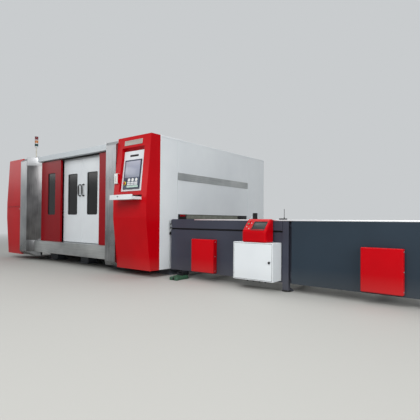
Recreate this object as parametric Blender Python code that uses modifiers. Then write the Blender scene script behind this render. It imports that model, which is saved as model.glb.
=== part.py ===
"""A closed fiber laser cutting machine with a sliding-pallet exchange table.

+X runs along the machine towards the exchange table, +Y to its rear and +Z up. The origin lies on the
floor, below the middle of the whole machine. All lengths are metres.
"""
import math

import bmesh
import bpy
from mathutils import Matrix, Vector

# Overall sizes
enclosure_length = 4.82
depth_beyond_table = 0.625
enclosure_height = 2.20
table_length = 4.40
table_width = 2.49
table_height = 0.895
ground_clearance = 0.106
tray_reach = 0.466

# Clearances and shared allowances
seat_gap = 0.0003
skew_gap = 0.0006
running_gap = 0.002
seam = 0.003
overrun = 0.02
weld_depth = 0.004
weld_distance = 0.00001
smooth_angle = math.radians(35)
square_edge_angle = math.radians(70)

# Enclosure sheet-metal panels
panel_thickness = 0.030
panel_edge = 0.003
corner_pillar_width = 0.392
rear_pillar_width = 0.646
opening_rim = 0.0155
opening_low = 0.50
opening_high = 0.977
trim_low = 1.533
trim_height = 0.121
trim_thickness = 0.004
rear_door_shares = (0.25, 0.75)
rear_door_width = 1.10
rear_door_low = 0.25
rear_door_height = 1.70
rear_door_proud = 0.006
roof_rib_width = 0.10
roof_rib_height = 0.025
roof_ribs = 4

# Front portal: two splayed stainless posts, a sill and a header
post_reach = 0.238
post_bevel_run = 0.10
post_bevel_depth = 0.07
post_face = 0.264
jamb_run = 0.25
post_tip_rise = 0.090
post_tip_depth = 0.14
sill_reach = 0.123
sill_low = 0.194
sill_high = 0.427
sill_inside = 0.12
header_reach = 0.090
header_drop = 0.010
header_height = 0.104
header_shadow_gap = 0.014

# Red housings at both ends of the front
end_block_width = 0.640
cabinet_width = 0.788
housing_edge_reach = 0.189
housing_knee_reach = 0.281
block_edge_reach = 0.142
block_knee_reach = 0.189
knee_below_recess = 0.09
knee_rise = 0.32
knee_radius = 0.40
knee_steps = 5
housing_corner = 0.025
block_inside = 0.28
cabinet_inside = 0.25
block_seam_height = 1.145
seam_groove = 0.006

# Fixed red panels and sliding white doors
fixed_panel_reach = 0.035
fixed_panel_thickness = 0.040
right_panel_width = 0.222
door_width = 0.651
door_thickness = 0.040
door_set_back = 0.044
door_lap = 0.012
door_rise = 0.008
door_travel = 0.56
window_width = 0.334
window_offset = 0.013
window_low = 0.968
window_head = 0.313
window_corner = 0.030
corner_steps = 3
fixed_window_width = 0.290
fixed_window_head = 0.262
fixed_window_offset = 0.026
pane_thickness = 0.008
handle_low = 1.330
handle_high = 1.540
handle_radius = 0.009
handle_stand = 0.052
handle_inset = 0.056
handle_bend = 0.028

# Overhead door track
track_wall = 0.006
track_drop = 0.110
track_height = 0.068
track_slot = 0.024
track_margin = 0.06
roller_radius = 0.017
roller_width = 0.070
hanger_thickness = 0.012
hanger_width = 0.10
hanger_inset = 0.10

# Operator screen, keyboard drawer and signal tower on the control cabinet
recess_left = 0.128
recess_width = 0.527
recess_drop = 0.176
recess_height = 0.704
recess_depth = 0.068
recess_foot_depth = 0.052
recess_rake = 0.045
bezel_margin = 0.006
bezel_thickness = 0.018
monitor_width = 0.388
monitor_low = 0.032
monitor_height = 0.468
monitor_inset = 0.060
monitor_thickness = 0.014
display_border = 0.020
display_foot = 0.185
display_depth = 0.003
key_radius = 0.013
key_height = 0.004
key_count = 3
tray_inset = 0.150
tray_width = 0.528
tray_below_recess = 0.132
tray_height = 0.070
tray_rim_share = 0.60
tray_front_thickness = 0.014
tray_depth = 0.300
tray_wall = 0.004
slot_clearance = 0.003
keyboard_margin = 0.020
keyboard_depth = 0.150
keyboard_thickness = 0.022
switch_box_width = 0.080
switch_box_rise = 0.137
switch_box_height = 0.163
switch_box_depth = 0.045
stop_radius = 0.020
stop_height = 0.026
stop_head_shares = ((0.80, 0.95), (1.00, 0.70), (1.00, 0.45), (0.50, 0.40))
press_travel = 0.004
stem_depth = 0.003
pole_radius = 0.012
pole_height = 0.290
pole_inset = 0.10
pole_base_radius = 0.032
pole_base_height = 0.014
lamp_radius = 0.037
lamp_height = 0.075
lamp_groove = 0.003

# Machine bed, inside the enclosure
bed_length = 3.75
table_side = 0.345
beam_width = 0.25
beam_low = 0.45
beam_high = 1.00
bed_leg_length = 0.26
bed_leg_inset = 0.03
bed_leg_pairs = 4
bed_foot_height = 0.025
bed_foot_spread = 0.03
cross_low = 0.36
cross_high = 0.50
cross_length = 0.12
outrigger_width = 0.08
outrigger_low = 0.34
outrigger_height = 0.06
ledge_reach = 0.12
ledge_thickness = 0.040
wheel_level = 0.80
hopper_low = 0.20
hopper_outlet_shares = (0.72, 0.35)
hopper_wall = 0.005
rail_width = 0.045
rail_height = 0.040
rail_waist = 0.010
rail_waist_shares = (0.45, 0.60, 0.75)
rail_end_gap = 0.05
source_width = 0.50
source_depth = 0.90
source_height = 1.25
source_foot = 0.06
source_behind = 0.75

# Gantry, carriage and cutting head
gantry_from_wall = 1.89
gantry_width = 0.30
gantry_low = 1.14
gantry_height = 0.30
gantry_chamfer = 0.07
saddle_length = 0.42
saddle_width = 0.21
guide_size = 0.026
guide_spacing = 0.18
carriage_width = 0.30
carriage_thickness = 0.045
carriage_low = 1.11
carriage_height = 0.42
slide_width = 0.16
slide_thickness = 0.030
slide_low = 1.19
slide_height = 0.50
head_reach = 0.105
head_radius = 0.055
collimator_radius = 0.038
head_neck_radius = 0.026
head_low = 1.045
head_high = 1.52
nozzle_radius = 0.016
nozzle_tip_radius = 0.006
nozzle_tip = 0.995
motor_radius = 0.045
motor_height = 0.16

# Exchange table
table_start = 0.02
link_size = 0.05
apron_height = 0.138
apron_lip = 0.060
apron_lip_thickness = 0.008
side_panel_thickness = 0.030
side_panel_set_back = 0.020
panel_shadow_gap = 0.022
near_panel_set_in = 0.026
apron_set_in = 0.064
table_edge = 0.004
module_length = 2.010
middle_leg_width = 0.088
middle_groove = 0.040
leg_width = 0.10
leg_low = 0.10
end_leg_inset = 0.14
chord_width = 0.090
chord_height = 0.080
low_chord_low = 0.16
low_chord_height = 0.08
foot_radius = 0.065
foot_height = 0.045
foot_shares = ((0.45, 0.80), (0.90, 0.35))
stud_radius = 0.014
foot_segments = 12
cross_beam_width = 0.09
lift_beam_places = (0.70, 3.05)
column_thickness = 0.050
column_width = 0.08
cylinder_radius = 0.045
cylinder_bore = 0.0262
rod_radius = 0.0255
cylinder_spread = 0.62
cover_low = 0.128
cover_height = 0.477
cover_proud = 0.070
cover_edge = 0.008
small_cover_start = 0.550
small_cover_width = 0.414
large_cover_start = 2.985
large_cover_width = 0.424

# Lift frame and pallets
lift_start = 0.06
lift_end = 3.60
lift_low = 0.44
lift_top = 0.83
lift_plate = 0.030
lift_travel = 0.20
lift_beam_height = 0.05
lift_window_height = 0.085
lift_windows = 5
rail_ledge_reach = 0.115
rail_ledge_thickness = 0.030
pallet_start = 0.10
pallet_length = 3.15
pallet_side_gap = 0.14
pallet_side = 0.06
pallet_low = 0.745
pallet_high = 0.845
slat_low = 0.770
slat_tip = 0.885
slat_tooth = 0.055
slat_teeth = 8
slat_thickness = 0.004
slat_spacing = 0.140
slat_inset = 0.14
spine_width = 0.04
spine_height = 0.05
wheel_radius = 0.035
wheel_thickness = 0.050
wheel_gap = 0.030
wheel_axle_radius = 0.012
wheel_inset = 0.20
wheels_per_side = 4
wheel_segments = 12
drive_motor_length = 0.34
drive_motor_radius = 0.075
drive_gearbox = 0.18

# Electrical box and operator console on the table's front side
box_start = 1.404
box_width = 0.586
box_low = 0.128
box_height = 0.478
box_reach = 0.203
box_wall = 0.012
box_door_border = 0.018
box_door_thickness = 0.014
lock_radius = 0.014
lock_height = 0.016
lock_tab = 0.006
lock_inset = 0.036
console_start = 1.540
console_width = 0.348
console_face_height = 0.145
console_slope_rise = 0.152
console_slope_run = 0.141
console_edge = 0.020
console_screen_width = 0.180
console_screen_inset = 0.130
console_screen_low = 0.030
console_screen_high = 0.165
console_screen_depth = 0.003
button_radius = 0.012
button_height = 0.012
button_inset = 0.055
button_places_shares = (0.55, 0.80)

# Colours (linear) and finishes: colour, roughness, metallic
red_paint = ((0.46, 0.002, 0.006, 1.0), 0.25, 0.0)
white_paint = ((0.60, 0.63, 0.65, 1.0), 0.35, 0.0)
slate_paint = ((0.035, 0.050, 0.070, 1.0), 0.45, 0.0)
stainless = ((0.42, 0.42, 0.41, 1.0), 0.35, 1.0)
bright_steel = ((0.55, 0.55, 0.56, 1.0), 0.25, 1.0)
dark_steel = ((0.05, 0.05, 0.055, 1.0), 0.5, 1.0)
black_plastic = ((0.008, 0.008, 0.009, 1.0), 0.5, 0.0)
grey_plastic = ((0.30, 0.31, 0.32, 1.0), 0.5, 0.0)
tinted_glass = ((0.02, 0.02, 0.015, 1.0), 0.08, 0.0)
red_lens = ((0.35, 0.006, 0.01, 1.0), 0.2, 0.0)
amber_lens = ((0.60, 0.20, 0.01, 1.0), 0.2, 0.0)
green_lens = ((0.01, 0.12, 0.06, 1.0), 0.2, 0.0)
green_plastic = ((0.01, 0.20, 0.05, 1.0), 0.4, 0.0)

# Places that follow from the sizes above
overall_length = enclosure_length + table_length
left_x = -overall_length / 2
end_x = left_x + enclosure_length
right_x = overall_length / 2
enclosure_depth = table_width + depth_beyond_table
wall_panel_width = enclosure_depth - corner_pillar_width - rear_pillar_width
opening_width = wall_panel_width - 2 * opening_rim
front_y = (tray_reach - enclosure_depth - rear_door_proud) / 2
rear_y = front_y + enclosure_depth
tray_travel = tray_reach - tray_front_thickness - housing_knee_reach - running_gap
work_y = front_y + corner_pillar_width + wall_panel_width / 2
ceiling = enclosure_height - panel_thickness
inner_end_x = end_x - panel_thickness

block_right_x = left_x + end_block_width
cabinet_left_x = end_x - cabinet_width
post_width = post_face + jamb_run
recess_high = enclosure_height - recess_drop
recess_low = recess_high - recess_height
knee_high = recess_low - knee_below_recess
knee_low = knee_high - knee_rise
tray_low = recess_low - tray_below_recess
switch_box_low = recess_low + switch_box_rise
header_high = enclosure_height - header_drop
header_low = header_high - header_height
track_low = enclosure_height - track_drop
opening_left_x = block_right_x + seam + post_bevel_run + post_width
opening_right_x = cabinet_left_x - seam - post_width
right_door_x = opening_right_x - right_panel_width + door_lap - door_width
left_door_x = right_door_x - seam - door_width
door_low = sill_high + door_rise
door_high = track_low - door_rise
window_high = door_high - window_head
fixed_window_high = door_high - fixed_window_head
door_y = front_y + door_set_back

bed_right_x = inner_end_x - seat_gap
bed_left_x = bed_right_x - bed_length
table_half = table_width / 2
beam_inner = table_half - table_side
pallet_half_width = beam_inner - pallet_side_gap
beam_middle = beam_inner + beam_width / 2
gantry_x = end_x - gantry_from_wall
table_front_y = work_y - table_half
chord_outer = table_half - side_panel_set_back - side_panel_thickness - seat_gap
chord_inner = chord_outer - chord_width
lift_outer = beam_inner + lift_plate
ledge_edge = beam_inner - rail_ledge_reach
console_high = box_low + box_height + seat_gap + console_face_height + console_slope_rise


def clear_scene():
    """Empties the scene, so that the script gives the same result each run."""
    for item in list(bpy.data.objects):
        bpy.data.objects.remove(item)
    parts = bpy.data.collections.new("fiber_laser_cutting_machine")
    tools = bpy.data.collections.new("cutters")
    bpy.context.scene.collection.children.link(parts)
    bpy.context.scene.collection.children.link(tools)
    return parts, tools


def paint(item, name, finish):
    """Gives a piece its own Principled material."""
    colour, roughness, metallic = finish
    material = bpy.data.materials.new(name)
    material.use_nodes = True
    shader = material.node_tree.nodes["Principled BSDF"]
    shader.inputs["Base Color"].default_value = colour
    shader.inputs["Roughness"].default_value = roughness
    shader.inputs["Metallic"].default_value = metallic
    item.data.materials.append(material)


def add_part(name, mesh, finish, collection):
    """Links a mesh as a named piece, with its material."""
    item = bpy.data.objects.new(name, mesh)
    collection.objects.link(item)
    paint(item, name, finish)
    return item


def as_tool(item):
    """Marks an object as a cutter: out of the render, drawn as wire."""
    item.hide_render = True
    item.display_type = "WIRE"
    return item


def box_mesh(name, low, high):
    """A block between two corners."""
    shape = bmesh.new()
    bmesh.ops.create_cube(shape, size=1)
    spans = [top - bottom for bottom, top in zip(low, high)]
    middle = [(top + bottom) / 2 for bottom, top in zip(low, high)]
    bmesh.ops.transform(shape, matrix=Matrix.Diagonal((*spans, 1)), verts=shape.verts)
    bmesh.ops.translate(shape, vec=middle, verts=shape.verts)
    mesh = bpy.data.meshes.new(name)
    shape.to_mesh(mesh)
    shape.free()
    return mesh


def add_box(name, low, high, finish, edge=0):
    """A block as a piece, its edges rounded by a bevel where one is asked for."""
    item = add_part(name, box_mesh(name, low, high), finish, part_collection)
    if edge:
        soften(item, edge)
    return item


def box_tool(low, high):
    """A block as a cutter."""
    return as_tool(add_part("block", box_mesh("block", low, high), dark_steel, tool_collection))


def soften(item, width, segments=1, angle=math.radians(30)):
    """Rounds the edges of a piece that turn by more than an angle."""
    bevel = item.modifiers.new("edges", "BEVEL")
    bevel.width = width
    bevel.segments = segments
    bevel.limit_method = "ANGLE"
    bevel.angle_limit = angle


def fillet(points, radius, steps):
    """Rounds each corner of a closed outline with an arc; radius is one value or one for each corner."""
    radii = radius if isinstance(radius, (list, tuple)) else [radius] * len(points)
    outline = []
    for index, corner in enumerate(points):
        before = Vector(points[index - 1]) - Vector(corner)
        after = Vector(points[(index + 1) % len(points)]) - Vector(corner)
        if not radii[index]:
            outline.append(tuple(corner))
            continue
        outline += corner_arc(Vector(corner), before.normalized(), after.normalized(), radii[index], steps)
    return outline


def corner_arc(corner, before, after, radius, steps):
    """The arc that rounds one corner between its two directions."""
    half = before.angle(after) / 2
    centre = corner + (before + after).normalized() * (radius / math.sin(half))
    reach = radius / math.tan(half)
    start = corner + before * reach - centre
    end = corner + after * reach - centre
    sweep = start.angle(end)
    points = []
    for step in range(steps + 1):
        share = step / steps
        mixed = start * (math.sin((1 - share) * sweep) / math.sin(sweep))
        mixed += end * (math.sin(share * sweep) / math.sin(sweep))
        points.append(tuple(centre + mixed))
    return points


def rectangle(low, high, radius=0):
    """A rectangle's outline, with rounded corners where a radius is given."""
    corners = [(low[0], low[1]), (high[0], low[1]), (high[0], high[1]), (low[0], high[1])]
    return fillet(corners, radius, corner_steps)


def turned_axes(axis):
    """The turn that lays a flat outline across one world axis: X reads (y, z), Y reads (x, z)."""
    turns = {
        "X": Matrix(((0, 0, 1), (1, 0, 0), (0, 1, 0))),
        "Y": Matrix(((1, 0, 0), (0, 0, -1), (0, 1, 0))),
        "Z": Matrix.Identity(3),
    }
    return turns[axis].to_4x4()


def prism_mesh(name, outline, axis, start, end):
    """A flat outline, filled and extruded along one world axis."""
    curve = bpy.data.curves.new(name, "CURVE")
    curve.dimensions = "2D"
    curve.fill_mode = "BOTH"
    curve.extrude = abs(end - start) / 2
    spline = curve.splines.new("POLY")
    spline.points.add(len(outline) - 1)
    for point, (across, up) in zip(spline.points, outline):
        point.co = (across, up, 0, 1)
    spline.use_cyclic_u = True
    middle = Matrix.Translation(axis_vector(axis) * (start + end) / 2)
    return curve_mesh(name, curve, middle @ turned_axes(axis))


def axis_vector(axis):
    """The unit vector of one world axis."""
    return Vector([float(letter == axis) for letter in "XYZ"])


def curve_mesh(name, curve, matrix):
    """The closed mesh of a curve, with its loose caps welded and its place applied."""
    item = bpy.data.objects.new(name, curve)
    bpy.context.scene.collection.objects.link(item)
    graph = bpy.context.evaluated_depsgraph_get()
    mesh = bpy.data.meshes.new_from_object(item.evaluated_get(graph))
    bpy.data.objects.remove(item)
    shape = bmesh.new()
    shape.from_mesh(mesh)
    bmesh.ops.remove_doubles(shape, verts=shape.verts, dist=weld_distance)
    bmesh.ops.transform(shape, matrix=matrix, verts=shape.verts)
    bmesh.ops.recalc_face_normals(shape, faces=shape.faces)
    shape.to_mesh(mesh)
    shape.free()
    return mesh


def add_prism(name, outline, axis, start, end, finish, edge=0):
    """An extruded outline as a piece."""
    item = add_part(name, prism_mesh(name, outline, axis, start, end), finish, part_collection)
    if edge:
        soften(item, edge)
    return item


def prism_tool(outline, axis, start, end):
    """An extruded outline as a cutter."""
    mesh = prism_mesh("profile", outline, axis, start, end)
    return as_tool(add_part("profile", mesh, dark_steel, tool_collection))


def turned_mesh(name, profile, segments, matrix):
    """A profile of (radius, height) points, run down its outer side, turned about its own Z."""
    mesh = bpy.data.meshes.new(name)
    mesh.from_pydata([(radius, 0, height) for radius, height in profile], chain(len(profile)), [])
    item = bpy.data.objects.new(name, mesh)
    bpy.context.scene.collection.objects.link(item)
    screw = item.modifiers.new("turn", "SCREW")
    screw.steps = segments
    screw.render_steps = segments
    screw.use_merge_vertices = True
    screw.merge_threshold = weld_distance
    graph = bpy.context.evaluated_depsgraph_get()
    turned = bpy.data.meshes.new_from_object(item.evaluated_get(graph))
    bpy.data.objects.remove(item)
    turned.transform(matrix)
    turned.shade_smooth()
    turned.set_sharp_from_angle(angle=smooth_angle)
    return turned


def chain(count):
    """The edges that join numbered points in a row."""
    return [(index, index + 1) for index in range(count - 1)]


def cylinder_profile(radius, low, high):
    """The profile of a plain cylinder, run down its outer side."""
    return [(0, high), (radius, high), (radius, low), (0, low)]


def add_turned(name, profile, segments, matrix, finish):
    """A turned piece."""
    return add_part(name, turned_mesh(name, profile, segments, matrix), finish, part_collection)


def turned_tool(profile, segments, matrix):
    """A turned cutter."""
    mesh = turned_mesh("turned", profile, segments, matrix)
    return as_tool(add_part("turned", mesh, dark_steel, tool_collection))


def combine(item, tool, operation):
    """Adds or takes away a tool with an exact Boolean."""
    change = item.modifiers.new(operation.lower(), "BOOLEAN")
    change.operation = operation
    change.solver = "EXACT"
    change.object = tool


def cut(item, *tools):
    """Takes cutters away from a piece."""
    for tool in tools:
        combine(item, tool, "DIFFERENCE")
    return item


def weld(item, *tools):
    """Joins further shapes to a piece, so that it stays one solid."""
    for tool in tools:
        combine(item, tool, "UNION")
    return item


def moving_body(name, place, pieces):
    """Hangs the pieces of one moving body on an empty that lies on its joint's axis."""
    pivot = bpy.data.objects.new(name, None)
    pivot.location = place
    part_collection.objects.link(pivot)
    for piece in pieces:
        piece.parent = pivot
        piece.matrix_parent_inverse = Matrix.Translation(place).inverted()
    return pivot


def nest(child, parent):
    """Hangs one moving body on another, where it already stands."""
    child.parent = parent
    child.matrix_parent_inverse = Matrix.Translation(parent.location).inverted()


def even_places(start, end, count):
    """Evenly spaced places from one end to the other."""
    return [start + (end - start) * index / (count - 1) for index in range(count)]


def housing_outline(inside, edge_reach, knee_reach):
    """The side view of a red housing: a front that bulges at hand height, and a notch below the roof."""
    outer = [
        (front_y - edge_reach, ground_clearance),
        (front_y - knee_reach, knee_low),
        (front_y - knee_reach, knee_high),
        (front_y - edge_reach, enclosure_height),
    ]
    inner = [
        (front_y, enclosure_height),
        (front_y, ceiling - seat_gap),
        (front_y + inside, ceiling - seat_gap),
        (front_y + inside, ground_clearance),
    ]
    radii = [0, knee_radius, knee_radius, 0, 0, 0, 0, 0]
    return fillet(outer + inner, radii, knee_steps)


def housing_reach(height):
    """How far the cabinet's front stands out above its knee, at one height."""
    share = (height - knee_high) / (enclosure_height - knee_high)
    return housing_knee_reach + share * (housing_edge_reach - housing_knee_reach)


def wall_notch(low_x, high_x):
    """The room that an end wall takes beside a housing, behind the front plane."""
    return box_tool(
        (low_x, front_y - seat_gap, ground_clearance - overrun),
        (high_x, front_y + block_inside + overrun, enclosure_height + overrun),
    )


def add_end_block():
    """The red housing at the left end, with a horizontal seam in its front."""
    outline = housing_outline(block_inside, block_edge_reach, block_knee_reach)
    block = add_prism("left_end_block", outline, "X", left_x, block_right_x, red_paint)
    cut(block, wall_notch(left_x - overrun, left_x + panel_thickness + seat_gap))
    front = front_y - block_knee_reach
    groove = box_tool(
        (left_x - overrun, front - overrun, block_seam_height),
        (block_right_x + overrun, front + seam_groove, block_seam_height + seam_groove),
    )
    cut(block, groove)
    soften(block, housing_corner, segments=2)


def add_control_cabinet():
    """The red control cabinet, with its screen recess and its keyboard drawer's slot."""
    outline = housing_outline(cabinet_inside, housing_edge_reach, housing_knee_reach)
    cabinet = add_prism("control_cabinet", outline, "X", cabinet_left_x, end_x, red_paint)
    cut(cabinet, wall_notch(inner_end_x - seat_gap, end_x + overrun))
    soften(cabinet, housing_corner, segments=2)
    cut(cabinet, recess_tool(), drawer_slot_tool())


def recess_points():
    """Where the recess floor starts and ends, as (y, z): deeper above than below."""
    low = (front_y - housing_reach(recess_low) + recess_foot_depth, recess_low)
    top = recess_high - recess_rake
    high = (front_y - housing_reach(top) + recess_depth, top)
    return low, high


def recess_tool():
    """The hollow that makes the screen recess, its ceiling raked down to the floor."""
    low, high = recess_points()
    outside = front_y - housing_knee_reach - overrun
    rake = recess_rake / (high[0] - front_y + housing_reach(recess_high))
    outline = [(outside, recess_low), low, high, (outside, high[1] + rake * (high[0] - outside))]
    start = cabinet_left_x + recess_left
    return prism_tool(outline, "X", start, start + recess_width)


def drawer_slot_tool():
    """The slot that the keyboard drawer runs in."""
    start = cabinet_left_x + tray_inset - slot_clearance
    return box_tool(
        (start, front_y - housing_knee_reach - overrun, tray_low - seat_gap),
        (start + tray_width + 2 * slot_clearance, tray_back_y() + tray_travel + slot_clearance,
         tray_low + tray_height + slot_clearance),
    )


def tray_back_y():
    """The rear end of the keyboard drawer, as it is pulled out."""
    return front_y - tray_reach + tray_depth


def recess_frame():
    """The frame of the recess floor: across, up the slope and out of it, from its lower left corner."""
    low, high = recess_points()
    slope = Vector((0, high[0] - low[0], high[1] - low[1])).normalized()
    across = Vector((1, 0, 0))
    out = across.cross(slope)
    start = Vector((cabinet_left_x + recess_left, low[0], low[1])) + out * seat_gap
    matrix = Matrix((across, slope, out)).transposed().to_4x4()
    return Matrix.Translation(start) @ matrix


def recess_slope():
    """The length of the recess floor up its slope."""
    low, high = recess_points()
    return math.hypot(high[0] - low[0], high[1] - low[1])


def add_operator_screen():
    """The white bezel in the recess, the framed screen on it and the emergency stop."""
    frame = recess_frame()
    margin = bezel_margin
    bezel = add_box(
        "screen_bezel",
        (margin, margin, 0),
        (recess_width - margin, recess_slope() - margin, bezel_thickness),
        white_paint, panel_edge,
    )
    bezel.matrix_world = frame
    offset = (monitor_inset, bezel_margin + monitor_low, bezel_thickness + seat_gap)
    lifted = frame @ Matrix.Translation(offset)
    add_stop_button(lifted, add_monitor(lifted))


def add_monitor(frame):
    """The screen with its key panel, one flat unit with a dark rim."""
    size = (monitor_width, monitor_height, monitor_thickness)
    monitor = add_part("monitor", box_mesh("monitor", (0, 0, 0), size), black_plastic, part_collection)
    low = (display_border, display_foot, monitor_thickness - display_depth)
    high = (monitor_width - display_border, monitor_height - display_border, monitor_thickness + overrun)
    display = box_tool(low, high)
    display.matrix_world = frame
    monitor.matrix_world = frame
    cut(monitor, display)
    for place in even_places(monitor_width / 2, monitor_width - 3 * key_radius, key_count):
        seat = frame @ Matrix.Translation((place, display_foot * 2 / 3, monitor_thickness))
        profile = cylinder_profile(key_radius, -weld_depth, key_height)
        weld(monitor, turned_tool(profile, foot_segments, seat))
    return monitor


def add_stop_button(frame, monitor):
    """The mushroom-headed emergency stop on the key panel, on its own pivot."""
    seat = frame @ Matrix.Translation((2 * stop_radius, display_foot / 2, monitor_thickness))
    stem = stop_radius / 2
    head = [(stop_radius * wide, stop_height * up) for wide, up in stop_head_shares]
    profile = [(0, stop_height), *head, (stem, -stem_depth), (0, -stem_depth)]
    add_press_button("cabinet_stop_button", profile, stem, seat, monitor, red_lens)


def add_press_button(name, profile, stem, seat, carrier, finish):
    """A push-button on its own pivot, its stem in a pocket of what carries it."""
    button = add_turned(name, profile, foot_segments, seat, finish)
    moving_body(name + "_pivot", seat.translation, [button])
    depth = stem_depth + press_travel + running_gap
    cut(carrier, turned_tool(cylinder_profile(stem + seat_gap, -depth, overrun), foot_segments, seat))


def add_keyboard_drawer():
    """The keyboard drawer, pulled out: a shallow tray with a front plate, and the keyboard in it."""
    start = cabinet_left_x + tray_inset
    front = front_y - tray_reach
    back = tray_back_y()
    tray = add_box(
        "keyboard_drawer",
        (start, front + tray_front_thickness - weld_depth, tray_low + seat_gap),
        (start + tray_width, back, tray_low + tray_height * tray_rim_share),
        white_paint,
    )
    well = box_tool(
        (start + tray_wall, front + tray_front_thickness, tray_low + seat_gap + tray_wall),
        (start + tray_width - tray_wall, back - tray_wall, tray_low + tray_height),
    )
    plate = box_tool(
        (start, front, tray_low - tray_wall),
        (start + tray_width, front + tray_front_thickness, tray_low + tray_height),
    )
    weld(cut(tray, well), plate)
    keys_start = start + keyboard_margin
    keys_front = front + tray_front_thickness + keyboard_margin
    keyboard = add_box(
        "keyboard",
        (keys_start, keys_front, tray_low + tray_wall + 2 * seat_gap),
        (start + tray_width - keyboard_margin, keys_front + keyboard_depth,
         tray_low + tray_wall + keyboard_thickness),
        black_plastic, panel_edge,
    )
    moving_body("keyboard_drawer_pivot", (start + tray_width / 2, front, tray_low), [tray, keyboard])


def add_switch_box():
    """The small switch box on the cabinet's left edge."""
    height = switch_box_low + switch_box_height
    back = front_y - housing_reach(height) - seat_gap
    outline = [
        (back - switch_box_depth, switch_box_low),
        (front_y - housing_reach(switch_box_low) - seat_gap, switch_box_low),
        (back, height),
        (back - switch_box_depth, height),
    ]
    start = cabinet_left_x + housing_corner
    add_prism("switch_box", outline, "X", start, start + switch_box_width, grey_plastic, panel_edge)


def add_signal_tower():
    """The signal tower on the roof: a pole with a foot, and three lamps."""
    place = (block_right_x + pole_inset, front_y + pole_inset, enclosure_height + seat_gap)
    matrix = Matrix.Translation(place)
    pole = [
        (0, pole_height), (pole_radius, pole_height), (pole_radius, pole_base_height),
        (pole_base_radius, pole_base_height), (pole_base_radius, 0), (0, 0),
    ]
    add_turned("signal_pole", pole, foot_segments, matrix, bright_steel)
    base = pole_height + seat_gap
    for name, finish in (("lamp_green", green_lens), ("lamp_amber", amber_lens), ("lamp_red", red_lens)):
        top = base + lamp_height - seat_gap
        inner = lamp_radius - lamp_groove
        profile = [
            (0, top), (inner, top), (lamp_radius, top - lamp_groove),
            (lamp_radius, base + lamp_groove), (inner, base), (0, base),
        ]
        add_turned(name, profile, foot_segments, matrix, finish)
        base += lamp_height


def portal_post(name, outline):
    """A stainless post: its plan outline raised, with the top and the foot leaning back."""
    post = add_prism(name, outline, "Z", ground_clearance, enclosure_height, stainless)
    front = front_y - post_reach
    start = min(x for x, y in outline) - overrun
    end = max(x for x, y in outline) + overrun
    for tip, inward in ((enclosure_height, -post_tip_rise), (ground_clearance, post_tip_rise)):
        out = -inward
        slope = [
            (front - overrun, tip + inward * (1 + overrun / post_tip_depth)),
            (front + post_tip_depth, tip),
            (front + post_tip_depth + overrun, tip + out * overrun / post_tip_depth),
            (front - overrun, tip + out),
        ]
        cut(post, prism_tool(slope, "X", start, end))
    return post


def add_portal_posts():
    """The two posts; their inner jambs splay towards the doors."""
    front = front_y - post_reach
    jamb_y = front_y - fixed_panel_reach
    start = block_right_x + seam
    face_start = start + post_bevel_run
    portal_post("portal_post_left", [
        (start, front_y), (start, front + post_bevel_depth), (face_start, front),
        (face_start + post_face, front), (opening_left_x, jamb_y), (opening_left_x, front_y),
    ])
    outer = cabinet_left_x - seam
    portal_post("portal_post_right", [
        (opening_right_x, front_y), (opening_right_x, jamb_y), (outer - post_face, front),
        (outer, front), (outer, front_y),
    ])


def jamb_shift(reach):
    """How far a splayed jamb lies outside the opening, at one reach ahead of the front plane."""
    return jamb_run * (reach - fixed_panel_reach) / (post_reach - fixed_panel_reach)


def between_jambs(reach, inside):
    """The plan outline of a rail whose ends follow the splayed jambs."""
    shift = jamb_shift(reach)
    return [
        (opening_left_x - shift + skew_gap, front_y - reach),
        (opening_right_x + shift - skew_gap, front_y - reach),
        (opening_right_x - skew_gap, front_y - fixed_panel_reach),
        (opening_right_x - skew_gap, front_y + inside),
        (opening_left_x + skew_gap, front_y + inside),
        (opening_left_x + skew_gap, front_y - fixed_panel_reach),
    ]


def add_sill_and_header():
    """The stainless sill below the doors and the light cover over them."""
    outline = between_jambs(sill_reach, sill_inside)
    sill = add_prism("door_sill", outline, "Z", sill_low, sill_high, stainless)
    outline = between_jambs(header_reach, 0)
    header = add_prism("header_cover", outline, "Z", header_low, header_high, white_paint)
    for rail in (sill, header):
        soften(rail, panel_edge, angle=square_edge_angle)


def add_fixed_panels():
    """The fixed red panels on both sides of the doors, and the window in the left one."""
    front = front_y - fixed_panel_reach
    back = front + fixed_panel_thickness
    low = sill_high + seat_gap
    high = header_low - header_shadow_gap
    left_end = left_door_x + door_lap
    left = add_box(
        "fixed_panel_left", (opening_left_x + seat_gap, front, low), (left_end, back, high),
        red_paint, panel_edge)
    add_box(
        "fixed_panel_right",
        (opening_right_x - right_panel_width, front, low), (opening_right_x - seat_gap, back, high),
        red_paint, panel_edge)
    middle = (opening_left_x + left_end) / 2 + fixed_window_offset
    half = fixed_window_width / 2
    window = (middle - half, middle + half, window_low, fixed_window_high)
    cut_window(left, window, front, fixed_panel_thickness)
    add_pane("fixed_window", window, front + fixed_panel_thickness / 2)


def cut_window(panel, window, front, thickness):
    """Cuts a round-cornered window through a panel."""
    low_x, high_x, low_z, high_z = window
    outline = rectangle((low_x, low_z), (high_x, high_z), window_corner)
    cut(panel, prism_tool(outline, "Y", front - overrun, front + thickness + overrun))


def add_pane(name, window, middle):
    """The tinted pane that fills a window."""
    low_x, high_x, low_z, high_z = window
    outline = rectangle(
        (low_x + seat_gap, low_z + seat_gap), (high_x - seat_gap, high_z - seat_gap), window_corner)
    half = pane_thickness / 2
    return add_prism(name, outline, "Y", middle - half, middle + half, tinted_glass)


def add_doors():
    """The two white doors, each with its hangers, window and handle; both slide apart."""
    add_door("left", left_door_x, left_door_x + door_width - handle_inset, -1)
    add_door("right", right_door_x, right_door_x + handle_inset, 1)


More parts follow.
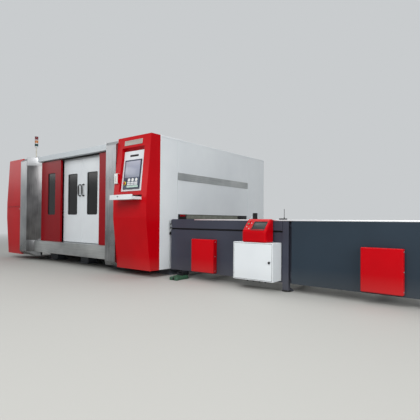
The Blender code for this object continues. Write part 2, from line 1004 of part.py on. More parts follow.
def add_door(side, start, handle_x, way):
    """One sliding door, hung in the overhead track."""
    leaf = add_box(
        "door_" + side, (start, door_y, door_low), (start + door_width, door_y + door_thickness, door_high),
        white_paint, panel_edge)
    middle = start + door_width / 2 - window_offset
    window = (middle - window_width / 2, middle + window_width / 2, window_low, window_high)
    cut_window(leaf, window, door_y, door_thickness)
    for place in (start + hanger_inset, start + door_width - hanger_inset):
        weld(leaf, hanger_plate(place), hanger_roller(place))
    pane = add_pane("door_window_" + side, window, door_y + door_thickness / 2)
    handle = add_handle("door_handle_" + side, handle_x)
    moving_body("door_%s_pivot" % side, (start, door_y, door_high), [leaf, pane, handle])


def track_middle_y():
    """The middle plane of the doors and of their track."""
    return door_y + door_thickness / 2


def roller_height():
    """The height of the hanger rollers' axles: they roll on the track's lower lips."""
    return track_low + track_wall + seat_gap + roller_radius


def hanger_plate(place):
    """The plate that rises from a door into the track's slot."""
    middle = track_middle_y()
    return box_tool(
        (place - hanger_width / 2, middle - hanger_thickness / 2, door_high - weld_depth),
        (place + hanger_width / 2, middle + hanger_thickness / 2, roller_height()),
    )


def hanger_roller(place):
    """A hanger's roller, lying across the track."""
    profile = cylinder_profile(roller_radius, -roller_width / 2, roller_width / 2)
    lying = Matrix.Rotation(math.radians(90), 4, "X")
    middle = Matrix.Translation((place, track_middle_y(), roller_height()))
    return turned_tool(profile, foot_segments, middle @ lying)


def add_handle(name, place):
    """A black D handle, a round bar bent between its two feet."""
    front = door_y - seat_gap
    route = fillet(
        [
            (front, handle_low), (front - handle_stand, handle_low),
            (front - handle_stand, handle_high), (front, handle_high),
        ],
        [0, handle_bend, handle_bend, 0], knee_steps)
    curve = bpy.data.curves.new(name, "CURVE")
    curve.dimensions = "3D"
    curve.bevel_depth = handle_radius
    curve.bevel_resolution = 2
    curve.use_fill_caps = True
    spline = curve.splines.new("POLY")
    spline.points.add(len(route) - 1)
    for point, (y, z) in zip(spline.points, route):
        point.co = (place, y, z, 1)
    mesh = curve_mesh(name, curve, Matrix())
    mesh.shade_smooth()
    mesh.set_sharp_from_angle(angle=smooth_angle)
    return add_part(name, mesh, black_plastic, part_collection)


def add_door_track():
    """The overhead track: a box rail with a slot below, fixed behind the header and the posts."""
    middle = track_middle_y()
    near = front_y + seat_gap
    far = 2 * middle - near
    reach = door_travel + track_margin
    start = left_door_x - reach
    end = min(right_door_x + door_width + reach, cabinet_left_x - seam)
    top = track_low + track_height
    track = add_box("door_track", (start, near, track_low), (end, far, top), bright_steel)
    hollow = box_tool(
        (start - overrun, near + track_wall, track_low + track_wall),
        (end + overrun, far - track_wall, track_low + track_height - track_wall),
    )
    slot = box_tool(
        (start - overrun, middle - track_slot / 2, track_low - overrun),
        (end + overrun, middle + track_slot / 2, track_low + 2 * track_wall),
    )
    cut(track, hollow, slot)


def add_left_and_rear_walls():
    """The plain left wall, and the rear wall with its two service doors' outlines."""
    high = ceiling - seat_gap
    add_box(
        "left_end_wall",
        (left_x, front_y + seat_gap, ground_clearance), (left_x + panel_thickness, rear_y, high),
        white_paint, panel_edge)
    rear = add_box(
        "rear_wall",
        (left_x + panel_thickness + seat_gap, rear_y - panel_thickness, ground_clearance),
        (inner_end_x - seat_gap, rear_y, high),
        white_paint, panel_edge)
    for share in rear_door_shares:
        middle = left_x + enclosure_length * share
        door = box_tool(
            (middle - rear_door_width / 2, rear_y - weld_depth, rear_door_low),
            (middle + rear_door_width / 2, rear_y + rear_door_proud, rear_door_low + rear_door_height),
        )
        weld(rear, door)


def add_roof():
    """The roof panel with its cross ribs."""
    roof = add_box(
        "roof_panel", (left_x, front_y + seat_gap, ceiling), (end_x, rear_y, enclosure_height), white_paint)
    inset = enclosure_length / (2 * roof_ribs)
    for place in even_places(left_x + inset, end_x - inset, roof_ribs):
        rib = box_tool(
            (place - roof_rib_width / 2, front_y + enclosure_depth / 4, enclosure_height - weld_depth),
            (place + roof_rib_width / 2, rear_y - enclosure_depth / 8, enclosure_height + roof_rib_height),
        )
        weld(roof, rib)
    soften(roof, panel_edge)


def add_end_wall():
    """The wall towards the table: two pillars, the panel with the pallet opening, and its steel trim."""
    high = ceiling - seat_gap
    panel_start = front_y + corner_pillar_width
    panel_end = panel_start + wall_panel_width
    spans = {
        "corner_pillar_front": (front_y + seat_gap, panel_start - seam / 2),
        "end_wall_panel": (panel_start + seam / 2, panel_end - seam / 2),
        "corner_pillar_rear": (panel_end + seam / 2, rear_y),
    }
    pieces = {
        name: add_box(
            name, (inner_end_x, start, ground_clearance), (end_x, end, high), white_paint, panel_edge)
        for name, (start, end) in spans.items()
    }
    opening = box_tool(
        (inner_end_x - overrun, work_y - opening_width / 2, opening_low),
        (end_x + overrun, work_y + opening_width / 2, opening_high),
    )
    cut(pieces["end_wall_panel"], opening)
    add_box(
        "end_trim",
        (end_x + seat_gap, panel_start + seam, trim_low),
        (end_x + seat_gap + trim_thickness, panel_end - seam, trim_low + trim_height),
        stainless)


def mirrored(low_off, high_off):
    """The two spans across the machine that lie between two distances from its work line."""
    return (work_y - high_off, work_y - low_off), (work_y + low_off, work_y + high_off)


def add_bed():
    """The welded bed: two side beams on legs, end cross-members and the pallet ledges."""
    front_span, rear_span = mirrored(beam_inner, beam_inner + beam_width)
    bed = add_box("bed_frame", *beam_corners(front_span), slate_paint)
    weld(bed, box_tool((bed_left_x, front_span[1] - weld_depth, cross_low),
                       (bed_left_x + cross_length, rear_span[0] + weld_depth, cross_high)))
    weld(bed, box_tool((bed_right_x - cross_length, front_span[1] - weld_depth, cross_low),
                       (bed_right_x, rear_span[0] + weld_depth, cross_high)))
    weld(bed, box_tool(*beam_corners(rear_span)))
    for low_y, high_y in mirrored(beam_inner - ledge_reach, beam_inner + weld_depth):
        low = wheel_level - ledge_thickness
        weld(bed, box_tool((bed_left_x, low_y, low), (bed_right_x, high_y, wheel_level)))
    first = bed_left_x + bed_leg_inset + bed_leg_length / 2
    last = bed_right_x - bed_leg_inset - bed_leg_length / 2
    places = even_places(first, last, bed_leg_pairs)
    leg_front = front_span[0] + bed_leg_inset + weld_depth
    for place in places:
        for low_y, high_y in (front_span, rear_span):
            weld(bed, bed_leg(place, low_y, high_y), bed_foot(place, low_y, high_y))
        start = rear_span[1] - bed_leg_inset - weld_depth
        weld(bed, outrigger(place, start, rear_y - panel_thickness - seat_gap))
    for place in places[1:-1]:
        weld(bed, outrigger(place, front_y + sill_inside + seat_gap, leg_front))
    weld(bed, outrigger(last, front_y + cabinet_inside + seat_gap, leg_front))


def outrigger(place, near_y, far_y):
    """An arm of the bed that holds the enclosure, at the height of the door sill."""
    half = outrigger_width / 2
    high = outrigger_low + outrigger_height
    return box_tool((place - half, near_y, outrigger_low), (place + half, far_y, high))


def beam_corners(span):
    """The corners of one of the bed's side beams."""
    return (bed_left_x, span[0], beam_low), (bed_right_x, span[1], beam_high)


def bed_leg(place, low_y, high_y):
    """One leg of the bed, below its beam."""
    half = bed_leg_length / 2
    inset = bed_leg_inset
    return box_tool(
        (place - half, low_y + inset, bed_foot_height - weld_depth),
        (place + half, high_y - inset, beam_low + weld_depth),
    )


def bed_foot(place, low_y, high_y):
    """The foot plate of one leg."""
    half = bed_leg_length / 2 + bed_foot_spread
    inset = bed_leg_inset - bed_foot_spread
    return box_tool((place - half, low_y + inset, 0), (place + half, high_y - inset, bed_foot_height))


def add_rails():
    """The two linear rails on the side beams, waisted like real profile rails."""
    for name, side in (("rail_front", -1), ("rail_rear", 1)):
        middle = work_y + side * beam_middle
        half = rail_width / 2
        low = beam_high + seat_gap
        heights = [low + rail_height * share for share in (0, *rail_waist_shares, 1)]
        widths = (half, half, half - rail_waist, half, half)
        edge = list(zip(widths, heights))
        outline = [(middle + out, up) for out, up in edge] + [(middle - out, up) for out, up in edge[::-1]]
        add_prism(name, outline, "X", bed_left_x + rail_end_gap, bed_right_x - rail_end_gap, bright_steel)


def add_hopper():
    """The open slag hopper between the beams, a sheet funnel with an outlet below."""
    near_x = bed_left_x + cross_length + seat_gap
    far_x = bed_right_x - cross_length - seat_gap
    middle = Vector(((near_x + far_x) / 2, work_y, hopper_low))
    shape = bmesh.new()
    bmesh.ops.create_cube(shape, size=1)
    spans = (far_x - near_x, 2 * (beam_inner - seat_gap), cross_high - hopper_low)
    shape.normal_update()
    ends = [face for face in shape.faces if abs(face.normal.z) > math.cos(smooth_angle)]
    bmesh.ops.delete(shape, geom=ends, context="FACES_ONLY")
    bmesh.ops.translate(shape, vec=(0, 0, 1 / 2), verts=shape.verts)
    bmesh.ops.transform(shape, matrix=Matrix.Diagonal((*spans, 1)), verts=shape.verts)
    outlet = [corner for corner in shape.verts if corner.co.z < spans[2] / 2]
    bmesh.ops.transform(shape, matrix=Matrix.Diagonal((*hopper_outlet_shares, 1, 1)), verts=outlet)
    bmesh.ops.translate(shape, vec=middle, verts=shape.verts)
    mesh = bpy.data.meshes.new("slag_hopper")
    shape.to_mesh(mesh)
    shape.free()
    hopper = add_part("slag_hopper", mesh, dark_steel, part_collection)
    wall = hopper.modifiers.new("wall", "SOLIDIFY")
    wall.thickness = hopper_wall
    wall.offset = -1
    wall.use_even_offset = True


def add_laser_source():
    """The laser source's cabinet, standing behind the left housing on four feet."""
    start = left_x + panel_thickness + seat_gap
    near = front_y + source_behind
    source = add_box(
        "laser_source", (start, near, source_foot),
        (start + source_width, near + source_depth, source_height),
        white_paint, panel_edge)
    for place in (start + source_foot, start + source_width - 2 * source_foot):
        for side in (near + source_foot, near + source_depth - 2 * source_foot):
            top = source_foot + weld_depth
            foot = box_tool((place, side, 0), (place + source_foot, side + source_foot, top))
            weld(source, foot)


def add_gantry():
    """The gantry beam with its saddles on the rails, and the guides that the carriage runs on."""
    half = beam_middle + saddle_width / 2
    chamfer = gantry_chamfer
    left = gantry_x - gantry_width / 2
    right = gantry_x + gantry_width / 2
    high = gantry_low + gantry_height
    outline = [
        (left + chamfer, gantry_low), (right, gantry_low), (right, high), (left + chamfer, high),
        (left, high - chamfer), (left, gantry_low + chamfer),
    ]
    gantry = add_prism("gantry_beam", outline, "Y", work_y - half, work_y + half, white_paint, panel_edge)
    rail_top = beam_high + seat_gap + rail_height
    for side in (-1, 1):
        middle = work_y + side * beam_middle
        saddle = box_tool(
            (gantry_x - saddle_length / 2, middle - saddle_width / 2, rail_top - rail_height / 2),
            (gantry_x + saddle_length / 2, middle + saddle_width / 2, gantry_low + weld_depth),
        )
        groove = box_tool(
            (gantry_x - saddle_length, middle - rail_width / 2 - running_gap, rail_top - rail_height),
            (gantry_x + saddle_length, middle + rail_width / 2 + running_gap, rail_top + seat_gap),
        )
        cut(weld(gantry, saddle), groove)
    for height in guide_heights():
        guide = box_tool(
            (right - weld_depth, work_y - beam_inner, height - guide_size / 2),
            (right + guide_size, work_y + beam_inner, height + guide_size / 2),
        )
        weld(gantry, guide)
    return gantry


def guide_heights():
    """The heights of the carriage's two guides on the gantry."""
    middle = gantry_low + gantry_height / 2
    return middle - guide_spacing / 2, middle + guide_spacing / 2


def carriage_face_x():
    """The carriage's face towards the cutting head."""
    return gantry_x + gantry_width / 2 + guide_size + seat_gap + carriage_thickness


def add_carriage():
    """The carriage plate across the gantry, with the drive motor of the vertical slide on its top."""
    right = carriage_face_x()
    carriage = add_box(
        "y_carriage",
        (right - carriage_thickness, work_y - carriage_width / 2, carriage_low),
        (right, work_y + carriage_width / 2, carriage_low + carriage_height),
        slate_paint, panel_edge)
    motor = turned_tool(
        cylinder_profile(motor_radius, -weld_depth, motor_height), foot_segments,
        Matrix.Translation((right - motor_radius - running_gap, work_y, carriage_low + carriage_height)))
    return weld(carriage, motor)


def add_cutting_head():
    """The cutting head on its vertical slide, and its nozzle."""
    start = carriage_face_x() + seat_gap
    slide = add_box(
        "cutting_head",
        (start, work_y - slide_width / 2, slide_low),
        (start + slide_thickness, work_y + slide_width / 2, slide_low + slide_height),
        bright_steel)
    matrix = Matrix.Translation((start + head_reach, work_y, 0))
    body = [
        (0, head_high), (collimator_radius, head_high), (collimator_radius, head_high - head_reach),
        (head_radius, head_high - head_reach - head_neck_radius), (head_radius, slide_low),
        (head_neck_radius, head_low + head_neck_radius), (head_neck_radius, head_low), (0, head_low),
    ]
    clamp = box_tool(
        (start + slide_thickness - weld_depth, work_y - slide_width / 4, slide_low + slide_height / 6),
        (start + head_reach, work_y + slide_width / 4, slide_low + slide_height / 3),
    )
    weld(slide, clamp, turned_tool(body, foot_segments * 2, matrix))
    tip = [
        (0, head_low - seat_gap), (nozzle_radius, head_low - seat_gap),
        (nozzle_radius, (head_low + nozzle_tip) / 2), (nozzle_tip_radius, nozzle_tip), (0, nozzle_tip),
    ]
    nozzle = add_turned("cutting_nozzle", tip, foot_segments, matrix, dark_steel)
    return slide, nozzle, start + head_reach


def add_moving_gantry():
    """Hangs the head on the carriage and the carriage on the gantry."""
    gantry = moving_body("gantry_pivot", (gantry_x, work_y, beam_high), [add_gantry()])
    carriage = moving_body("carriage_pivot", (carriage_face_x(), work_y, carriage_low), [add_carriage()])
    slide, nozzle, head_x = add_cutting_head()
    head = moving_body("head_pivot", (head_x, work_y, nozzle_tip), [slide, nozzle])
    nest(carriage, gantry)
    nest(head, carriage)


def leg_places():
    """The middles of the table's three pairs of legs along X."""
    start = end_x + table_start + end_leg_inset + leg_width / 2
    middle = end_x + module_length + middle_leg_width / 2
    last = right_x - end_leg_inset - leg_width / 2
    return start, middle, last


def add_table_frame():
    """The welded table frame: chords, legs on levelling feet, cross-beams, lift columns and cylinders."""
    start = end_x + table_start
    near, far = mirrored(chord_inner, chord_outer)
    top = table_height - apron_lip_thickness - seat_gap
    low = top - chord_height
    frame = add_box("table_frame", (start, near[0], low), (right_x, near[1], top), slate_paint)
    weld(frame, box_tool((start, far[0], top - chord_height), (right_x, far[1], top)))
    for place in leg_places():
        for span, side in ((near, -1), (far, 1)):
            weld(frame, table_leg(place, span, top), levelling_foot(place, work_y + side * leg_middle()))
        weld(frame, cross_beam(place, near[0], far[1]))
    for low_y, high_y in (near, far):
        high = low_chord_low + low_chord_height
        weld(frame, box_tool((start, low_y, low_chord_low), (right_x, high_y, high)))
        weld(frame, wall_link(start, (low_y + high_y) / 2, top - chord_height / 2))
    for offset in lift_beam_places:
        place = end_x + offset
        weld(frame, cross_beam(place, near[0], far[1]))
        for side in (-1, 1):
            weld(frame, lift_column(place, side))
            cut(weld(frame, lift_cylinder(place, side)), cylinder_bore_tool(place, side))
    weld(frame, middle_leg_face())


def wall_link(start, across, height):
    """The link that ties a top chord to the enclosure's wall."""
    half = link_size / 2
    return box_tool(
        (end_x + seat_gap, across - half, height - half), (start + weld_depth, across + half, height + half))


def leg_middle():
    """How far the legs' middles lie from the work line."""
    return (chord_inner + chord_outer) / 2


def table_leg(place, span, top):
    """One leg between its foot and the top chord."""
    low_y, high_y = span
    return box_tool(
        (place - leg_width / 2, low_y + 2 * weld_depth, leg_low),
        (place + leg_width / 2, high_y - 2 * weld_depth, top - weld_depth),
    )


def middle_leg_face():
    """The post that shows between the two front panels, down to the floor."""
    place = leg_places()[1]
    front = work_y - table_half + weld_depth
    half = middle_leg_width / 2 - seam
    return box_tool(
        (place - half, front, foot_height / 4),
        (place + half, work_y - chord_outer + 2 * weld_depth, table_height),
    )


def levelling_foot(place, across):
    """A cast levelling foot with its stud."""
    high = leg_low + weld_depth
    cast = [(foot_radius * wide, foot_height * up) for wide, up in foot_shares]
    profile = [(0, high), (stud_radius, high), (stud_radius, foot_height), *cast, (foot_radius, 0), (0, 0)]
    return turned_tool(profile, foot_segments, Matrix.Translation((place, across, 0)))


def cross_beam(place, low_y, high_y):
    """A low cross-beam of the table."""
    half = cross_beam_width / 2
    inset = 2 * weld_depth
    return box_tool(
        (place - half, low_y + inset, low_chord_low + inset),
        (place + half, high_y - inset, low_chord_low + low_chord_height - inset),
    )


def lift_column(place, side):
    """A column that guides the lift frame, standing on a cross-beam."""
    inner = side * (lift_outer + running_gap)
    outer = side * (lift_outer + running_gap + column_thickness)
    return box_tool(
        (place - column_width / 2, work_y + min(inner, outer), low_chord_low + low_chord_height / 2),
        (place + column_width / 2, work_y + max(inner, outer), lift_top),
    )


def cylinder_place(place, side):
    """Where one lift cylinder stands, at its foot."""
    return Matrix.Translation((place, work_y + side * cylinder_spread, ground_clearance))


def cylinder_length():
    """The lift cylinder's length, up to just below the lift frame's beam."""
    return lift_low - seat_gap - ground_clearance


def lift_cylinder(place, side):
    """The outside of one lift cylinder."""
    profile = cylinder_profile(cylinder_radius, 0, cylinder_length())
    return turned_tool(profile, foot_segments, cylinder_place(place, side))


def cylinder_bore_tool(place, side):
    """The bore of one lift cylinder, open above."""
    profile = cylinder_profile(cylinder_bore, cylinder_bore, cylinder_length() + overrun)
    return turned_tool(profile, foot_segments, cylinder_place(place, side))


def add_table_panels():
    """The table's painted side panels: apron and lower panel of the near module, far module, rear side."""
    front = table_front_y
    thick = side_panel_thickness
    start = end_x + table_start
    joint = end_x + module_length - seat_gap
    apron_low = table_height - apron_height
    lip = table_height - apron_lip_thickness
    apron = [
        (front, apron_low), (front + thick, apron_low), (front + thick, lip),
        (front + thick + apron_lip, lip), (front + thick + apron_lip, table_height), (front, table_height),
    ]
    apron = fillet(apron, [table_edge, 0, 0, 0, 0, table_edge], corner_steps)
    add_prism("table_apron", apron, "X", start + apron_set_in, joint, slate_paint)
    lower_front = front + side_panel_set_back
    add_box(
        "table_panel_near", (start + near_panel_set_in, lower_front, ground_clearance),
        (joint, lower_front + thick, apron_low - panel_shadow_gap), slate_paint, table_edge)
    far_start = end_x + module_length + middle_leg_width + middle_groove
    add_lipped_panel("table_panel_far", front, 1, far_start)
    add_lipped_panel("table_panel_rear", work_y + table_half, -1, start)


def add_lipped_panel(name, face, way, start):
    """A full-height side panel with a lip along its top."""
    inner = face + way * (side_panel_set_back + side_panel_thickness)
    lip = inner + way * apron_lip
    low = table_height - apron_lip_thickness
    outline = [
        (face, ground_clearance), (inner, ground_clearance), (inner, low), (lip, low),
        (lip, table_height), (face, table_height),
    ]
    outline = fillet(outline, [table_edge, 0, 0, 0, 0, table_edge], corner_steps)
    add_prism(name, outline, "X", start, right_x, slate_paint)


def add_covers():
    """The two red covers on the table's front side."""
    backs = {
        "cover_small": table_front_y + side_panel_set_back - seat_gap,
        "cover_large": table_front_y - seat_gap,
    }
    spans = {
        "cover_small": (small_cover_start, small_cover_width),
        "cover_large": (large_cover_start, large_cover_width),
    }
    for name, (offset, width) in spans.items():
        low = (end_x + offset, table_front_y - cover_proud, cover_low)
        high = (end_x + offset + width, backs[name], cover_low + cover_height)
        add_box(name, low, high, red_paint, cover_edge)


def add_lift():
    """The lift frame: two side plates with two pairs of ledges, cross-beams and cylinder rods."""
    start = end_x + lift_start
    end = end_x + lift_end
    near, far = mirrored(beam_inner, lift_outer)
    lift = add_box("lift_frame", (start, near[0], lift_low), (end, near[1], lift_top), bright_steel)
    for offset in lift_beam_places:
        weld(lift, lift_beam(end_x + offset, near[1], far[0]))
    weld(lift, box_tool((start, far[0], lift_low), (end, far[1], lift_top)))
    for level in (wheel_level, wheel_level - lift_travel):
        for low_y, high_y in mirrored(ledge_edge, beam_inner + weld_depth):
            weld(lift, box_tool((start, low_y, level - rail_ledge_thickness), (end, high_y, level)))
    for offset in lift_beam_places:
        for side in (-1, 1):
            weld(lift, lift_rod(end_x + offset, side))
    cut(lift, *lift_windows_tools(start, end))
    return moving_body("lift_pivot", ((start + end) / 2, work_y, lift_low), [lift])


def lift_beam(place, low_y, high_y):
    """A cross-beam of the lift frame, below the lower pallet."""
    half = cross_beam_width / 2
    return box_tool(
        (place - half, low_y - weld_depth, lift_low),
        (place + half, high_y + weld_depth, lift_low + lift_beam_height),
    )


def lift_rod(place, side):
    """A cylinder rod, reaching down into its cylinder."""
    profile = cylinder_profile(rod_radius, low_chord_low, lift_low + weld_depth)
    middle = Matrix.Translation((place, work_y + side * cylinder_spread, 0))
    return turned_tool(profile, foot_segments, middle)


def lift_windows_tools(start, end):
    """The windows that lighten the side plates, between the two pairs of ledges."""
    low = wheel_level - lift_travel + rail_ledge_thickness
    pitch = (end - start) / lift_windows
    outer = lift_outer + overrun
    tools = []
    for index in range(lift_windows):
        first = start + pitch * (index + 1 / 5)
        tools.append(box_tool(
            (first, work_y - outer, low), (first + pitch * 3 / 5, work_y + outer, low + lift_window_height)))
    return tools


def slat_outline():
    """A slat's side view along Y: a flat foot and a row of pointed teeth."""
    half = pallet_half_width - pallet_side + weld_depth
    pitch = 2 * half / slat_teeth
    points = [(work_y + half, slat_low), (work_y - half, slat_low), (work_y - half, slat_tip - slat_tooth)]
    for tooth in range(slat_teeth):
        low = work_y - half + pitch * tooth
        points += [(low + pitch / 2, slat_tip), (low + pitch, slat_tip - slat_tooth)]
    return points[::-1]


def slat_row(drop):
    """All slats of a pallet as one tool, spaced evenly along X."""
    start = end_x + pallet_start + slat_inset
    slat = as_tool(add_part(
        "slat", prism_mesh("slat", slat_outline(), "X", start, start + slat_thickness),
        dark_steel, tool_collection))
    slat.location.z = -drop
    row = slat.modifiers.new("row", "ARRAY")
    row.count = 1 + int((pallet_length - 2 * slat_inset) / slat_spacing)
    row.use_relative_offset = False
    row.use_constant_offset = True
    row.constant_offset_displace = (slat_spacing, 0, 0)
    return slat


def add_pallet(name, drop):
    """A pallet: a welded frame on wheels with its row of saw-toothed slats."""
    start = end_x + pallet_start
    end = start + pallet_length
    near, far = mirrored(pallet_half_width - pallet_side, pallet_half_width)
    low = pallet_low - drop
    high = pallet_high - drop
    pallet = add_box(name, (start, near[0], low), (end, near[1], high), dark_steel)
    for first in (start, end - pallet_side):
        low_y, high_y = near[1] - weld_depth, far[0] + weld_depth
        weld(pallet, box_tool((first, low_y, low), (first + pallet_side, high_y, high)))
    weld(pallet, box_tool((start, far[0], low), (end, far[1], high)))
    spine = box_tool(
        (start + pallet_side - weld_depth, work_y - spine_width / 2, low + weld_depth),
        (end - pallet_side + weld_depth, work_y + spine_width / 2, low + spine_height),
    )
    weld(pallet, spine, slat_row(drop))
    for place in even_places(start + wheel_inset, end - wheel_inset, wheels_per_side):
        for side in (-1, 1):
            weld(pallet, pallet_wheel(place, side, drop))
    return pallet


def pallet_wheel(place, side, drop):
    """A wheel with its axle, standing out from the pallet's side."""
    hub = pallet_half_width + wheel_gap
    profile = [
        (0, hub + wheel_thickness), (wheel_radius, hub + wheel_thickness), (wheel_radius, hub),
        (wheel_axle_radius, hub), (wheel_axle_radius, pallet_half_width - weld_depth),
        (0, pallet_half_width - weld_depth),
    ]
    height = wheel_level + seat_gap + wheel_radius - drop
    lying = Matrix.Rotation(math.radians(-90 * side), 4, "X")
    return turned_tool(profile, wheel_segments, Matrix.Translation((place, work_y, height)) @ lying)


def add_pallets(lift):
    """The two pallets, one above the other on the lift frame."""
    for name, drop in (("pallet_upper", 0), ("pallet_lower", lift_travel)):
        pallet = add_pallet(name, drop)
        place = (end_x + pallet_start, work_y, pallet_low - drop)
        nest(moving_body(name + "_pivot", place, [pallet]), lift)


def add_drive_motor():
    """The pallet drive's gearmotor, standing on the last cross-beam of the table."""
    place = leg_places()[2]
    low = low_chord_low + low_chord_height - 2 * weld_depth + seat_gap
    half = drive_gearbox / 2
    gearbox = add_box(
        "drive_motor", (place - half, work_y - half, low),
        (place + half, work_y + half, low + drive_gearbox),
        slate_paint, panel_edge)
    lying = Matrix.Rotation(math.radians(90), 4, "X")
    matrix = Matrix.Translation((place, work_y - half + weld_depth, low + half)) @ lying
    motor = turned_tool(cylinder_profile(drive_motor_radius, 0, drive_motor_length), foot_segments, matrix)
    weld(gearbox, motor)


def add_electrical_box():
    """The white electrical box on the table's side, with its inset door and its lock."""
    start = end_x + box_start
    end = start + box_width
    front = table_front_y - box_reach
    back = table_front_y + side_panel_set_back - seat_gap
    high = box_low + box_height
    body = add_box("electrical_box", (start, front, box_low), (end, back, high), white_paint, panel_edge)
    border = box_door_border
    cavity = box_tool(
        (start + border, front + box_door_thickness + seat_gap, box_low + border),
        (end - border, back - box_wall, high - border),
    )
    rebate = box_tool(
        (start + box_wall, front - overrun, box_low + box_wall),
        (end - box_wall, front + box_door_thickness + 2 * seat_gap, high - box_wall),
    )
    cut(body, cavity, rebate)
    door = add_box(
        "box_door",
        (start + box_wall + running_gap, front, box_low + box_wall + running_gap),
        (end - box_wall - running_gap, front + box_door_thickness, high - box_wall - running_gap),
        white_paint)
    hinge = moving_body("box_door_pivot", (start + box_wall + running_gap, front, box_low), [door])
    lock_place = (end - box_wall - lock_inset, front - seat_gap, box_low + box_height / 2)
    lock = add_turned("box_lock", cylinder_profile(lock_radius, 0, lock_height), foot_segments,
                      facing_front(lock_place), black_plastic)
    tab = box_tool((-lock_tab / 2, -lock_radius, lock_height - weld_depth),
                   (lock_tab / 2, lock_radius, lock_height + lock_tab))
    tab.matrix_world = facing_front(lock_place)
    weld(lock, tab)
    nest(moving_body("box_lock_pivot", lock_place, [lock]), hinge)


def facing_front(place):
    """The frame at a place whose Z points to the front."""
    return Matrix.Translation(place) @ Matrix.Rotation(math.radians(90), 4, "X")


def console_slope():
    """The frame of the console's sloping face: across, up the slope and out, from its lower left corner."""
    slope = Vector((0, console_slope_run, console_slope_rise)).normalized()
    across = Vector((1, 0, 0))
    low = console_high - console_slope_rise
    start = Vector((end_x + console_start, table_front_y - box_reach, low))
    matrix = Matrix((across, slope, across.cross(slope))).transposed().to_4x4()
    return Matrix.Translation(start) @ matrix


def add_console():
    """The red operator console on the electrical box, with its screen recess and two buttons."""
    front = table_front_y - box_reach
    back = table_front_y - seat_gap
    low = box_low + box_height + seat_gap
    outline = [
        (front, low), (front, low + console_face_height), (front + console_slope_run, console_high),
        (back, console_high), (back, low),
    ]
    start = end_x + console_start
    console = add_prism("operator_console", outline, "X", start, start + console_width, red_paint)
    soften(console, console_edge, segments=2)
    frame = console_slope()
    screen = box_tool(
        (console_screen_inset, console_screen_low, -console_screen_depth),
        (console_screen_inset + console_screen_width, console_screen_high, overrun),
    )
    screen.matrix_world = frame
    cut(console, screen)
    slope = math.hypot(console_slope_run, console_slope_rise)
    names = (("console_start_button", green_plastic), ("console_stop_button", red_lens))
    for share, (name, finish) in zip(button_places_shares, names):
        seat = frame @ Matrix.Translation((button_inset, slope * share, 0))
        stem = button_radius / 2
        low = press_travel + running_gap
        profile = [
            (0, button_height), (button_radius, button_height), (button_radius, low),
            (stem, low), (stem, -stem_depth), (0, -stem_depth),
        ]
        add_press_button(name, profile, stem, seat, console, finish)


part_collection, tool_collection = clear_scene()
add_end_block()
add_control_cabinet()
add_operator_screen()
add_keyboard_drawer()
add_switch_box()
add_signal_tower()
add_portal_posts()
add_sill_and_header()
add_fixed_panels()
add_doors()
add_door_track()
add_left_and_rear_walls()
add_roof()
add_end_wall()
add_bed()
add_rails()
add_hopper()
add_laser_source()
add_moving_gantry()
add_table_frame()
add_table_panels()
add_covers()
add_pallets(add_lift())
add_drive_motor()
add_electrical_box()
add_console()
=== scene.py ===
import math

import bmesh
import bpy
from mathutils import Matrix, Vector


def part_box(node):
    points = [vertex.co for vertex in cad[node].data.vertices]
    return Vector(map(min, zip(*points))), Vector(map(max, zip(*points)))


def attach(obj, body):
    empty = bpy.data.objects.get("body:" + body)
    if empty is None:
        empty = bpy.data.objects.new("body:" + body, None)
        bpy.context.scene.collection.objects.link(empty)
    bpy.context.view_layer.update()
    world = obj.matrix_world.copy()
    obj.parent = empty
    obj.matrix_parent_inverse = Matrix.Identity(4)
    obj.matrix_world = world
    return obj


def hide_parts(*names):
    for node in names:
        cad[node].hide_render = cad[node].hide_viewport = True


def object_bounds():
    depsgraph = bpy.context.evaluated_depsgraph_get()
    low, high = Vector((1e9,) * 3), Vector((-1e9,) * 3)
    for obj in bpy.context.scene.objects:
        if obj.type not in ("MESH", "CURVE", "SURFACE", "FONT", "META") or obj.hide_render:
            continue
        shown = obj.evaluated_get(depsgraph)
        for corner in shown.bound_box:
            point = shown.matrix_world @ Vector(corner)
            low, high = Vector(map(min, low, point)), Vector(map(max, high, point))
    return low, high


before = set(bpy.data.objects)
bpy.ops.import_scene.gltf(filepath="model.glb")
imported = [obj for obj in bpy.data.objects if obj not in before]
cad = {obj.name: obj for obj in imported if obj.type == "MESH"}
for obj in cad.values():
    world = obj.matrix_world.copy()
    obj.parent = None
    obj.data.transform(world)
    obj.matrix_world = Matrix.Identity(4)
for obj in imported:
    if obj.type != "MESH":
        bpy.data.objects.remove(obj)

cad_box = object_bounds()
to_front, to_back, to_right = (0, -1, 0), (0, 1, 0), (1, 0, 0)
upwards, downwards = (0, 0, 1), (0, 0, -1)


def set_camera():
    """The camera, solved from the straight edges of the machine in the photograph."""
    turn, tilt, roll = math.radians(38.67), math.radians(0.81), math.radians(0.50)
    place, focal_length, sensor_width = (4.507, -5.4546, 0.88), 32.75, 36
    raised_pixels, photo_pixels = 5, 420
    forward = Vector((-math.sin(turn) * math.cos(tilt), math.cos(turn) * math.cos(tilt), math.sin(tilt)))
    level = Vector((math.cos(turn), math.sin(turn), 0))
    above = level.cross(forward)
    right = level * math.cos(roll) + above * math.sin(roll)
    up = above * math.cos(roll) - level * math.sin(roll)
    bpy.ops.object.camera_add(location=place)
    camera = bpy.context.object
    axes = Matrix((right, up, -forward)).transposed().to_4x4()
    camera.matrix_world = Matrix.Translation(camera.location) @ axes
    camera.data.lens = focal_length
    camera.data.sensor_width = sensor_width
    camera.data.shift_y = raised_pixels / photo_pixels
    camera.data.clip_end = 120
    bpy.context.scene.camera = camera


def hex_colour(code):
    """An sRGB hex value as the linear numbers that a shader takes."""
    parts = [int(code[start:start + 2], 16) / 255 for start in (1, 3, 5)]
    linear = [part / 12.92 if part <= 0.04045 else ((part + 0.055) / 1.055) ** 2.4 for part in parts]
    return (*linear, 1.0)


